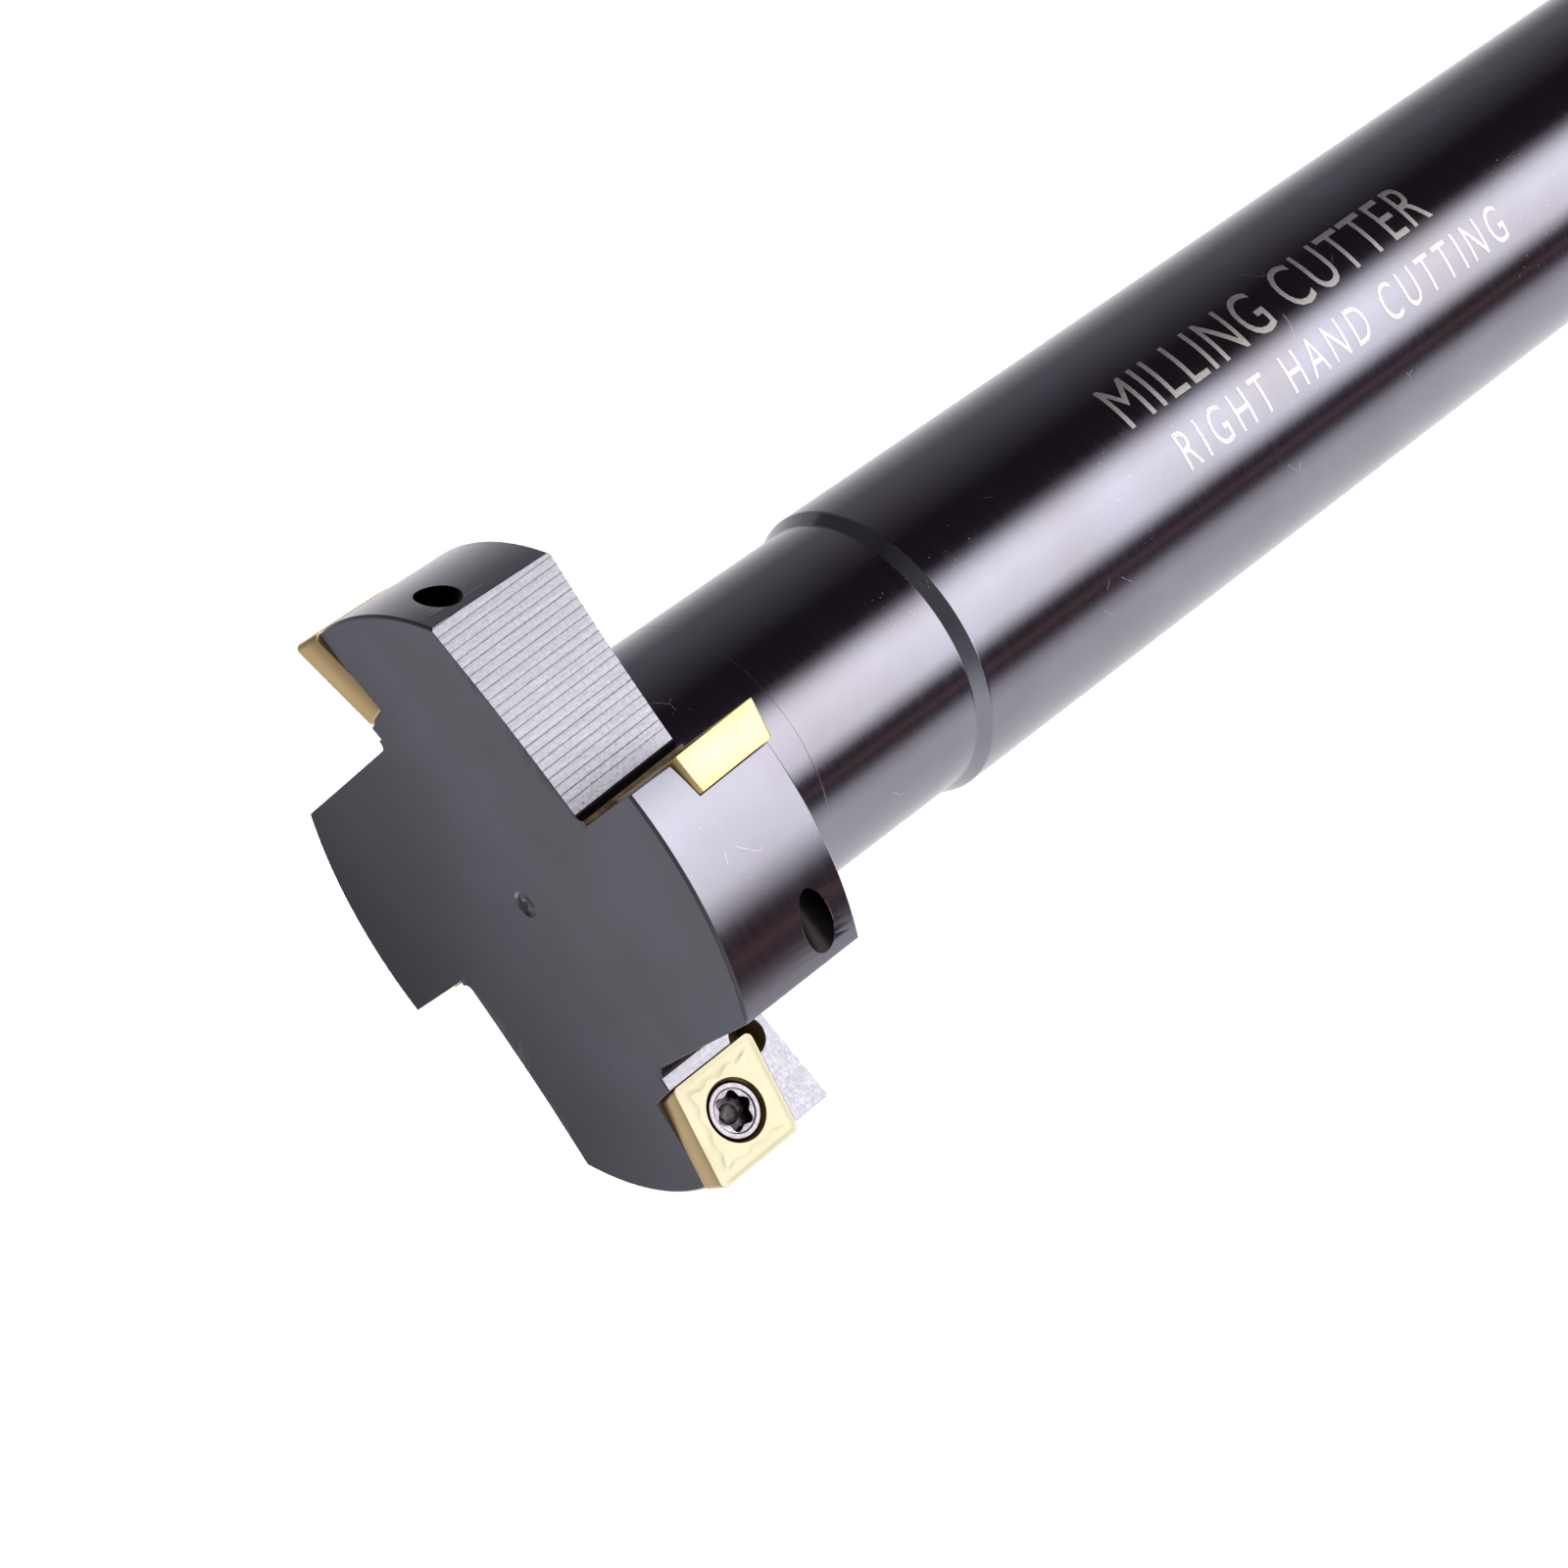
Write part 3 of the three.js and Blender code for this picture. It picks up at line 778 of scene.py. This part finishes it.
def pocket(number):
    """An insert pocket: a rhombus whose inner corner lies behind the insert's, leaning as it rises."""
    lean = math.tan(CLEARANCE) / math.sin(HALF_CORNER)
    reach = INSERT_EDGE * math.cos(HALF_CORNER) - INSERT_THICKNESS * lean
    apex = -reach - WALL_GAP / math.sin(HALF_CORNER) + SEAT_GAP * lean
    wall = 3 * INSERT_EDGE
    across, aside = wall * math.cos(HALF_CORNER), wall * math.sin(HALF_CORNER)
    outline = [(apex, 0), (apex + across, -aside), (apex + 2 * across, 0), (apex + across, aside)]
    top = INSERT_THICKNESS + MM
    return placed(extruded(outline, -SEAT_GAP, top, (-lean * (top + SEAT_GAP), 0)), frames[number][0])


def relief(number):
    """The drilled corner of a pocket."""
    top = INSERT_THICKNESS + MM
    profile = [(0, -RELIEF_DEPTH), (RELIEF_RADIUS, -RELIEF_DEPTH), (RELIEF_RADIUS, top), (0, top)]
    drilled = turned(profile, HOLE_STEPS)
    inner = INSERT_NOSE - INSERT_EDGE * math.cos(HALF_CORNER)
    return placed(drilled, frames[number][0] @ Matrix.Translation((inner, 0, 0)))


def screw_hole(number):
    """A tapped hole that goes on as a drilled one through the back of the tooth."""
    profile = [(0, MM), (THREAD_RADIUS + THREAD_CUT, MM), (THREAD_RADIUS + THREAD_CUT, 0)]
    height = -THREAD_CUT
    while height - THREAD_PITCH > THREAD_END:
        profile += [(THREAD_RADIUS, height), (THREAD_RADIUS + THREAD_CUT, height - THREAD_PITCH / 2)]
        height -= THREAD_PITCH
    profile += [(THREAD_RADIUS, height), (THREAD_RADIUS, BORE_END), (DRILL_RADIUS, BORE_END - THREAD_CUT),
                (DRILL_RADIUS, -HEAD_RADIUS), (0, -HEAD_RADIUS)]
    return placed(turned(profile[::-1], HOLE_STEPS), frames[number][0])


print("pocket walls lean", round(math.degrees(CLEARANCE)), "degrees")

# %% [markdown]
# The cuts go in the order of a shop: pockets, then the drilled corners, then the holes. Each set of four
# is one cutter, because one exact cut is quicker than four.

# %% Mill the pockets, drill and tap
cut(body, joined_cutters("pockets", [pocket(number) for number in TEETH], MILLED))
cut(body, joined_cutters("reliefs", [relief(number) for number in TEETH], RELIEF))
# The screw holes take the dull black of a painted shade.
cut(body, joined_cutters("screw_holes", [screw_hole(number) for number in TEETH], SHADE_BLACK))
print("pockets, reliefs and holes cut:", len(body.data.polygons), "faces")

# %% [markdown]
# ## The body's finish
# The edges are broken, and then each face takes its finish from where it lies. Cut faces already have
# theirs. Of the rest, what faces up or down on the head is turned satin, and everything round the
# axis is ground.

# %% Break the edges and sort the finishes
EDGE_BREAK = 0.045 * MM
break_edges(body, EDGE_BREAK, 48, slivers=0.008 * MM, segments=3)
for polygon in body.data.polygons:
    on_head = polygon.center.z > HEAD_BACK - EDGE_BREAK
    if polygon.material_index == GROUND and on_head and abs(polygon.normal.z) > 0.9:
        polygon.material_index = TURNED
smooth(body, 35)
stand_for(body, "cutter_body", "cutter_body")

# %% [markdown]
# ## The inserts
# An insert is a pressed and ground rhombus of 80 degrees with rounded noses. Its sides lean in by 7
# degrees towards the seat, so the outline is drawn for the rake face and scaled down below. The rake
# face is not flat: inside a narrow land it dips into a chip breaking groove, and then rises to a wavy
# plateau round the screw. Each of these is the top face extruded again, scaled in and moved. A plain
# inset would fold over at the small noses, and scaling keeps the shape.

# %% Shape the insert
NOSE_STEPS, SIDE_STEPS, INSERT_HOLE_STEPS = 8, 36, 96
SMALL_BREAK, SMALL_BREAK_ANGLE = 0.025 * MM, 40
LAND_SCALE = 0.965
GROOVE = ((0.93, -0.03), (0.88, -0.05))
FOOT, BROW, PLATEAU = (0.775, -0.062), (0.71, -0.014), (0.685, -0.008)
WAVES, WAVE_SIZE = 3, 0.055


def insert_outline(scale):
    """The insert's outline with the cutting corner on +X, the same number of points on each side."""
    sharp = INSERT_EDGE * math.cos(HALF_CORNER) - INSERT_NOSE / math.sin(HALF_CORNER)
    blunt = INSERT_EDGE * math.sin(HALF_CORNER) - INSERT_NOSE / math.cos(HALF_CORNER)
    turn = math.pi / 2 - HALF_CORNER
    noses = [((sharp, 0), 0, turn), ((0, blunt), math.pi / 2, math.pi / 2 - turn),
             ((-sharp, 0), math.pi, turn), ((0, -blunt), 1.5 * math.pi, math.pi / 2 - turn)]
    corners = [arc(*at, INSERT_NOSE, middle - half, middle + half, NOSE_STEPS)
               for at, middle, half in noses]
    outline = []
    for corner, following in zip(corners, corners[1:] + corners[:1]):
        outline += corner
        (x, y), (to_x, to_y) = corner[-1], following[0]
        steps = [i / SIDE_STEPS for i in range(1, SIDE_STEPS)]
        outline += [(x + (to_x - x) * s, y + (to_y - y) * s) for s in steps]
    return [(x * scale, y * scale) for x, y in outline]


print("outline:", len(insert_outline(1)), "points")

# %% [markdown]
# The land, the groove, the wavy wall and the plateau are then raised one after the other from the top
# face, and the countersunk hole is cut last, so that it cuts through all of them.

# %% Raise the top and cut the hole
def raise_top(bm, face, scale, rise):
    """Extrudes the top face, scales it about the middle and moves it up. Returns the new top."""
    made = bmesh.ops.extrude_face_region(bm, geom=[face])["geom"]
    top = next(part for part in made if isinstance(part, bmesh.types.BMFace))
    bmesh.ops.delete(bm, geom=[face], context="FACES_ONLY")
    bmesh.ops.scale(bm, verts=top.verts, vec=(scale, scale, 1))
    bmesh.ops.translate(bm, verts=top.verts, vec=(0, 0, rise))
    return top


def ripple(face):
    """Moves a top face's points in and out in waves, a whole number of them on each side."""
    reach, width = (max(vert.co[axis] for vert in face.verts) for axis in (0, 1))
    moves = {}
    for vert in face.verts:
        side = abs(vert.co.y) / width
        along = side / (side + abs(vert.co.x) / reach)
        moves[vert] = 1 + WAVE_SIZE * math.cos(2 * math.pi * WAVES * along)
    for vert, scale in moves.items():
        vert.co.xy *= scale


def insert_blank():
    """The insert without its hole, on the seat frame."""
    shrink = 1 - 2 * INSERT_THICKNESS * math.tan(CLEARANCE) / INSERT_CIRCLE
    bm = bmesh.new()
    underside = bm.faces.new([bm.verts.new((x, y, 0)) for x, y in insert_outline(shrink)])
    made = bmesh.ops.extrude_face_region(bm, geom=[underside])["geom"]
    top = next(part for part in made if isinstance(part, bmesh.types.BMFace))
    bmesh.ops.scale(bm, verts=top.verts, vec=(1 / shrink, 1 / shrink, 1))
    bmesh.ops.translate(bm, verts=top.verts, vec=(0, 0, INSERT_THICKNESS))
    reached, level = 1.0, 0.0
    for scale, depth in ((LAND_SCALE, 0), *GROOVE, FOOT, BROW, PLATEAU):
        top = raise_top(bm, top, scale / reached, (depth - level) * MM)
        if scale == FOOT[0]:
            ripple(top)
        reached, level = scale, depth
    return tidy(bm)


def insert_hole():
    """The countersunk hole of an insert."""
    beyond = SINK_RADIUS + SINK_SLOPE * MM
    profile = [(0, -MM), (HOLE_RADIUS, -MM), (HOLE_RADIUS, INSERT_THICKNESS - SINK_DEPTH),
               (beyond, INSERT_THICKNESS + MM), (0, INSERT_THICKNESS + MM)]
    return turned(profile, INSERT_HOLE_STEPS)


pattern_insert = make_object("insert_pattern", insert_blank(), INSERT_MATERIALS)
drill = insert_hole()
# The hole's walls take the dark brown of a painted shade.
for face in drill.faces:
    face.material_index = HOLE_SHADE
cut(pattern_insert, make_object("insert_hole", drill, INSERT_MATERIALS))
break_edges(pattern_insert, SMALL_BREAK, SMALL_BREAK_ANGLE)
# Faces that look up take the paler gold: painted light on the top.
for polygon in pattern_insert.data.polygons:
    if polygon.material_index == GOLD and polygon.normal.z > 0.8:
        polygon.material_index = LIT_TOP_GOLD
print("insert:", len(pattern_insert.data.polygons), "faces")

# %% [markdown]
# ## The insert screws
# Each is an M2.5 screw with a 60 degree head and a six-lobed socket. The head and the core are
# turned, the socket is cut out, and the thread is one small wedge spun up the core as a helix: spin
# with a step along the axis for each turn. The thread only shows when the insert is lifted, but then
# it is what tells a screw from a pin.

# %% Turn the screw
HEAD_BELOW_FACE, HEAD_RIM, HEAD_GAP = 0.2 * MM, 0.1 * MM, 0.1 * MM
SCREW_LENGTH, SCREW_CORE, TIP_CHAMFER = 6 * MM, 0.98 * MM, 0.3 * MM
SCREW_CREST = 1.21 * MM
SCREW_SHOULDER = 1.1 * MM
SOCKET_RADIUS, LOBE_DEPTH, LOBES, SOCKET_DEPTH = 1.25 * MM, 0.28 * MM, 6, 0.9 * MM
RECESS_TOP, RECESS_RADIUS, RECESS_DEPTH = 1.38 * MM, 1.31 * MM, 0.09 * MM
HEAD_TOP = INSERT_THICKNESS - HEAD_BELOW_FACE
SCREW_TIP = HEAD_TOP - SCREW_LENGTH
RIM_BOTTOM = HEAD_TOP - HEAD_RIM
HEAD_RADIUS_SCREW = SINK_RADIUS - SINK_SLOPE * (INSERT_THICKNESS - RIM_BOTTOM) - HEAD_GAP
CONE_BOTTOM = RIM_BOTTOM - (HEAD_RADIUS_SCREW - SCREW_SHOULDER) / SINK_SLOPE
THREAD_TOP = -0.35 * MM
SCREW_STEPS, RECESS_STEPS, LOBE_STEPS, THREAD_STEPS = 72, 96, 16, 24
HEAD_HIGHLIGHT = 1


def screw_blank():
    """The screw's head, shoulder and core."""
    profile = [
        (0, SCREW_TIP),
        (SCREW_CORE - TIP_CHAMFER, SCREW_TIP),
        (SCREW_CORE, SCREW_TIP + TIP_CHAMFER),
        (SCREW_CORE, THREAD_TOP),
        (SCREW_SHOULDER, THREAD_TOP + (SCREW_SHOULDER - SCREW_CORE)),
        (SCREW_SHOULDER, CONE_BOTTOM),
        (HEAD_RADIUS_SCREW, RIM_BOTTOM),
        (HEAD_RADIUS_SCREW, HEAD_TOP),
        (0, HEAD_TOP),
    ]
    return turned(profile, SCREW_STEPS, [(7, 0.06 * MM)])


print("screw head", round(2 * HEAD_RADIUS_SCREW / MM, 2), "mm across, tip at", round(SCREW_TIP / MM, 2), "mm")

# %% [markdown]
# The socket is punched: a shallow round recess first, then six lobes, with the drill's cone left at the
# bottom. The lobes are one cosine round a circle, which stays right if their number or depth changes.

# %% Cut the socket and spin the thread
def recess():
    """The shallow round recess that the punch for the socket leaves, and the drill's point below."""
    ledge, bottom = HEAD_TOP - RECESS_DEPTH, HEAD_TOP - SOCKET_DEPTH
    core = SOCKET_RADIUS - LOBE_DEPTH
    profile = [(0, bottom - core / 3), (core, bottom + core / 6), (core, ledge),
               (RECESS_RADIUS, ledge), (RECESS_TOP, HEAD_TOP), (RECESS_TOP, HEAD_TOP + MM),
               (0, HEAD_TOP + MM)]
    return turned(profile, RECESS_STEPS)


def socket():
    """The six-lobed socket."""
    steps = LOBE_STEPS * LOBES
    middle = SOCKET_RADIUS - LOBE_DEPTH / 2
    outline = []
    for i in range(steps):
        angle = 2 * math.pi * i / steps
        radius = middle + LOBE_DEPTH / 2 * math.cos(LOBES * angle)
        outline.append((radius * math.cos(angle), radius * math.sin(angle)))
    return extruded(outline, HEAD_TOP - SOCKET_DEPTH, HEAD_TOP + MM)


def thread():
    """A wedge spun up the core as a helix."""
    low = SCREW_TIP + TIP_CHAMFER
    turns = int((THREAD_TOP - low) / THREAD_PITCH)
    half, tip, inside = THREAD_PITCH * 0.44, THREAD_PITCH * 0.07, SCREW_CORE - 0.03 * MM
    section = [(inside, -half), (SCREW_CREST, -tip), (SCREW_CREST, tip), (inside, half)]
    bm = bmesh.new()
    wedge = bm.faces.new([bm.verts.new((radius, 0, low + half + height)) for radius, height in section])
    bmesh.ops.spin(
        bm, geom=[wedge], cent=(0, 0, 0), axis=(0, 0, 1), dvec=(0, 0, THREAD_PITCH / THREAD_STEPS),
        angle=2 * math.pi * turns, steps=THREAD_STEPS * turns,
    )
    return tidy(bm)


def screw_pattern():
    """The whole screw, its head's upward faces in bright steel as a painted highlight."""
    made = make_object("screw_pattern", screw_blank(), SCREW_MATERIALS)
    cut(made, make_object("socket", socket(), SCREW_MATERIALS))
    cut(made, make_object("recess", recess(), SCREW_MATERIALS))
    break_edges(made, SMALL_BREAK, SMALL_BREAK_ANGLE)
    # The head's upward faces take the bright steel: a painted highlight.
    for polygon in made.data.polygons:
        facing_up = polygon.normal.z > 0.35
        if polygon.center.z > HEAD_TOP - 1.3 * RECESS_DEPTH and facing_up:
            polygon.material_index = HEAD_HIGHLIGHT
    bm = thread()
    bm.from_mesh(made.data)
    bm.to_mesh(made.data)
    bm.free()
    return made


pattern_screw = screw_pattern()
print("screw:", len(pattern_screw.data.polygons), "faces")

# %% [markdown]
# ## Placing inserts and screws
# All four inserts are the same piece, and so are the screws. Each copy's mesh is moved into its
# tooth's seat frame, so the object itself stays at the origin. The screws are turned by different
# amounts, because nobody tightens four screws to the same angle.

# %% Copy them into the seats
SCREW_TURNS = {1: 10, 2: 37, 3: 22, 4: 51}


def copy_to(pattern, name, place):
    """A copy of a pattern with its place in its mesh."""
    mesh = pattern.data.copy()
    mesh.transform(place)
    mesh.name = name
    copy = bpy.data.objects.new(name, mesh)
    bpy.context.scene.collection.objects.link(copy)
    smooth(copy, 25)
    return copy


for number in TEETH:
    seat, _ = frames[number]
    turn = Matrix.Rotation(math.radians(SCREW_TURNS[number]), 4, "Z")
    tip = copy_to(pattern_insert, f"cutting_insert_{number}", seat)
    stand_for(tip, f"insert_{number}", f"insert_{number}")
    screw = copy_to(pattern_screw, f"lobed_screw_{number}", seat @ turn)
    stand_for(screw, f"insert_screw_{number}", f"insert_screw_{number}")
bpy.data.objects.remove(pattern_insert)
bpy.data.objects.remove(pattern_screw)

# %% [markdown]
# ## The marking on the shank
# Real tools carry their size code burnt into the shank. Here two plain rows of general words stand in
# its place. The letters start as a text curve, become a flat mesh, are cut into strips across their
# height so that they can bend, and are then laid round the shank. Each vertex's x runs down the
# tool and its y runs round it. They lie a hundredth of a millimetre proud, as a mark's burr does.

# %% Write the marking
MARK_PROUD = 0.012 * MM
MARK_ROWS = (
    ("MILLING CUTTER", 3.6, 31.7, 1.1, 19.2, 21.2),
    ("RIGHT HAND CUTTING", 2.7, 34.5, 1.35, 21.2, -6.1),
)
STRIP = 0.25 * MM


def flat_letters(words, height, length, spacing):
    """Words as a flat mesh in a bmesh, of the given height and length, cut into strips."""
    curve = bpy.data.curves.new("letters", "FONT")
    curve.body, curve.align_y, curve.space_character = words, "CENTER", spacing
    curve.resolution_u = 4
    text = bpy.data.objects.new("letters", curve)
    bpy.context.scene.collection.objects.link(text)
    bpy.context.view_layer.update()
    mesh = bpy.data.meshes.new_from_object(text)
    bpy.data.objects.remove(text)
    bm = bmesh.new()
    bm.from_mesh(mesh)
    bpy.data.meshes.remove(mesh)
    low_x, high_x = min(v.co.x for v in bm.verts), max(v.co.x for v in bm.verts)
    low_y, high_y = min(v.co.y for v in bm.verts), max(v.co.y for v in bm.verts)
    bmesh.ops.translate(bm, verts=bm.verts, vec=(-low_x, -(low_y + high_y) / 2, 0))
    fit = (length * MM / (high_x - low_x), height * MM / (high_y - low_y), 1)
    bmesh.ops.scale(bm, verts=bm.verts, vec=fit)
    lines = int(height * MM / STRIP)
    for i in range(-lines, lines + 1):
        bmesh.ops.bisect_plane(
            bm, geom=bm.verts[:] + bm.edges[:] + bm.faces[:], dist=1e-8,
            plane_co=(0, i * STRIP, 0), plane_no=(0, 1, 0),
        )
    return bm


def wrap(bm, below_shoulder, round_degrees):
    """Bends flat letters round the shank."""
    radius = SHANK_RADIUS + MARK_PROUD
    for vert in bm.verts:
        angle = math.radians(round_degrees) + vert.co.y / SHANK_RADIUS
        height = SHANK_TOP - below_shoulder * MM - vert.co.x
        vert.co = (radius * math.sin(angle), -radius * math.cos(angle), height)
    return bm


marking = bmesh.new()
for words, height, length, spacing, below, degrees in MARK_ROWS:
    row = wrap(flat_letters(words, height, length, spacing), below, degrees)
    flat = bpy.data.meshes.new("row")
    row.to_mesh(flat)
    marking.from_mesh(flat)
    bpy.data.meshes.remove(flat)
    row.free()
marks = make_object("shank_marking", marking, (LASER_MARK,))
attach(marks, "cutter_body")
print("marking:", len(marks.data.polygons), "faces")

# %% [markdown]
# ## Floor and light
# Polished black metal has hardly any look of its own: it shows the room. So the room is built for it,
# from a floor, a light table, one lamp and a sky. The floor is plain and white, and rough enough that
# the tool leaves no mirror image on it.

# %% Lay the floor
def plain_material(name, colour, roughness):
    material = bpy.data.materials.new(name)
    material.use_nodes = True
    shader = material.node_tree.nodes["Principled BSDF"]
    shader.inputs["Base Color"].default_value = (*colour, 1)
    shader.inputs["Roughness"].default_value = roughness
    shader.inputs["Specular IOR Level"].default_value = 0.2
    return material


floor_shape = bmesh.new()
bmesh.ops.create_grid(floor_shape, x_segments=1, y_segments=1, size=4)
floor = make_object("floor", floor_shape, (plain_material("floor_white", (0.93, 0.93, 0.93), 0.7),))

# %% [markdown]
# Seen from above, a standing shank mirrors only what lies on the table round it. So a ring-shaped light
# table surrounds the tool, shown only in reflections: bright in front, nearly dark on both sides, where
# it draws the black bands down the shank, and pale behind. Its brightness is a colour ramp round the
# circle, set stop by stop. Separate lamps and black cards would do the same, with more to place.

# %% Lay the light table round the tool
TABLE_INNER, TABLE_OUTER, TABLE_HEIGHT = 0.012, 3.9, 0.002
TABLE_BRIGHTEST = 3.0
TABLE_STOPS = (
    (-180, (0.85, 0.85, 0.87)), (-150, (1.0, 1.0, 1.02)), (-85, (1.1, 1.1, 1.14)),
    (-74, (0.75, 0.75, 0.79)), (-67, (0.22, 0.19, 0.21)), (-61, (0.06, 0.035, 0.05)),
    (-57, (0.24, 0.15, 0.15)), (-52, (0.05, 0.03, 0.045)), (-46, (0.12, 0.09, 0.11)),
    (-40, (1.0, 1.0, 1.04)), (-32, (2.3, 2.3, 2.36)), (-5, (2.9, 2.9, 2.96)),
    (5, (2.5, 2.5, 2.54)), (12, (1.5, 1.5, 1.54)), (19, (0.4, 0.36, 0.4)), (25, (0.03, 0.02, 0.03)),
    (55, (0.03, 0.022, 0.032)), (75, (0.11, 0.1, 0.115)), (95, (0.2, 0.195, 0.215)),
    (112, (0.24, 0.23, 0.25)), (130, (0.5, 0.5, 0.52)), (150, (0.85, 0.85, 0.87)),
    (180, (0.85, 0.85, 0.87)),
)


def table_material():
    """A glow whose brightness depends on the direction from the tool, in degrees from the front."""
    material = bpy.data.materials.new("light_table")
    material.use_nodes = True
    tree = material.node_tree
    tree.nodes.clear()
    coordinates = tree.nodes.new("ShaderNodeTexCoord")
    parts = tree.nodes.new("ShaderNodeSeparateXYZ")
    tree.links.new(coordinates.outputs["Object"], parts.inputs["Vector"])
    backwards = math_node(tree, "MULTIPLY", parts.outputs["Y"], -1.0)
    turn = math_node(tree, "ARCTAN2", parts.outputs["X"], backwards)
    ramp = tree.nodes.new("ShaderNodeValToRGB")
    tree.links.new(spread(tree, turn, -math.pi, math.pi), ramp.inputs["Fac"])
    stops = ramp.color_ramp.elements
    for _ in TABLE_STOPS[2:]:
        stops.new(0.5)
    for stop, (degrees, colour) in zip(stops, TABLE_STOPS):
        stop.position = (degrees + 180) / 360
        stop.color = (*(channel / TABLE_BRIGHTEST for channel in colour), 1)
    glow = tree.nodes.new("ShaderNodeEmission")
    glow.inputs["Strength"].default_value = TABLE_BRIGHTEST
    out = tree.nodes.new("ShaderNodeOutputMaterial")
    tree.links.new(ramp.outputs["Color"], glow.inputs["Color"])
    tree.links.new(glow.outputs["Emission"], out.inputs["Surface"])
    return material


ring = bmesh.new()
ends = [ring.verts.new((radius, 0, TABLE_HEIGHT)) for radius in (TABLE_INNER, TABLE_OUTER)]
bmesh.ops.spin(ring, geom=[*ends, ring.edges.new(ends)], cent=(0, 0, 0), axis=(0, 0, 1),
               dvec=(0, 0, 0), angle=2 * math.pi, steps=96, use_merge=True)
table = make_object("light_table", ring, (table_material(),))
table.visible_camera = table.visible_shadow = table.visible_diffuse = False

# %% [markdown]
# One soft lamp overhead whitens the floor without showing in the metal. The sky shows in whatever faces
# up. It is darker overhead, on one side and behind the camera, which keeps the head's front a deep
# slate and the shoulder's chamfer dark.

# %% Set the overhead light and the sky
overhead = bpy.data.lights.new("overhead", "SUN")
overhead.energy, overhead.angle = 3.7, math.radians(34)
overhead_light = bpy.data.objects.new("overhead", overhead)
overhead_light.location = (0, 0, 2)
overhead_light.visible_glossy = False
bpy.context.scene.collection.objects.link(overhead_light)


def studio_sky():
    """A sky that darkens upwards, towards +X and in front."""
    world = bpy.data.worlds.new("studio")
    world.use_nodes = True
    tree = world.node_tree
    coordinates = tree.nodes.new("ShaderNodeTexCoord")
    parts = tree.nodes.new("ShaderNodeSeparateXYZ")
    tree.links.new(coordinates.outputs["Generated"], parts.inputs["Vector"])
    upwards = spread(tree, parts.outputs["Z"], 0.57, 0.72, 0.56, 0.21)
    shade = spread(tree, parts.outputs["X"], 0.25, 0.8, 1, 0.15)
    glow = spread(tree, parts.outputs["X"], -0.25, -0.8, 1, 1.8)
    front = spread(tree, parts.outputs["Y"], -0.3, -0.7, 1, 0.35)
    sideways = math_node(tree, "MULTIPLY", math_node(tree, "MULTIPLY", shade, glow), front)
    tree.links.new(math_node(tree, "MULTIPLY", sideways, upwards),
                   tree.nodes["Background"].inputs["Strength"])
    tree.nodes["Background"].inputs["Color"].default_value = (0.97, 0.97, 1, 1)
    return world


bpy.context.scene.world = studio_sky()
bpy.context.scene.view_settings.view_transform = "Standard"
print("studio: floor, light table, overhead light, sky")

# %% [markdown]
# ## Camera
# The camera looks down at the head from the front, close by, and is rolled over so that the shank
# runs up to the right. It is placed by its own position, the direction it looks in and its roll, so
# that each can be read by itself.

# %% Place the camera
CAMERA_PLACE = Vector((1.36, -176.11, 244.93)) * MM
CAMERA_LOOK = Vector((-0.02251, 0.85844, -0.51242))
CAMERA_UP = Vector((0.81274, -0.28276, -0.50941))
CAMERA_LENS = 77.76

lens = bpy.data.cameras.new("camera")
lens.lens, lens.sensor_width, lens.clip_start = CAMERA_LENS, 36, 0.01
camera = bpy.data.objects.new("camera", lens)
right = CAMERA_LOOK.cross(CAMERA_UP).normalized()
back = -CAMERA_LOOK.normalized()
camera.matrix_world = basis(right, back, CAMERA_PLACE)
bpy.context.scene.collection.objects.link(camera)
bpy.context.scene.camera = camera
print("camera", round(CAMERA_PLACE.length / MM), "mm from the end of the shank")

# %% [markdown]

# %% Finish
import json
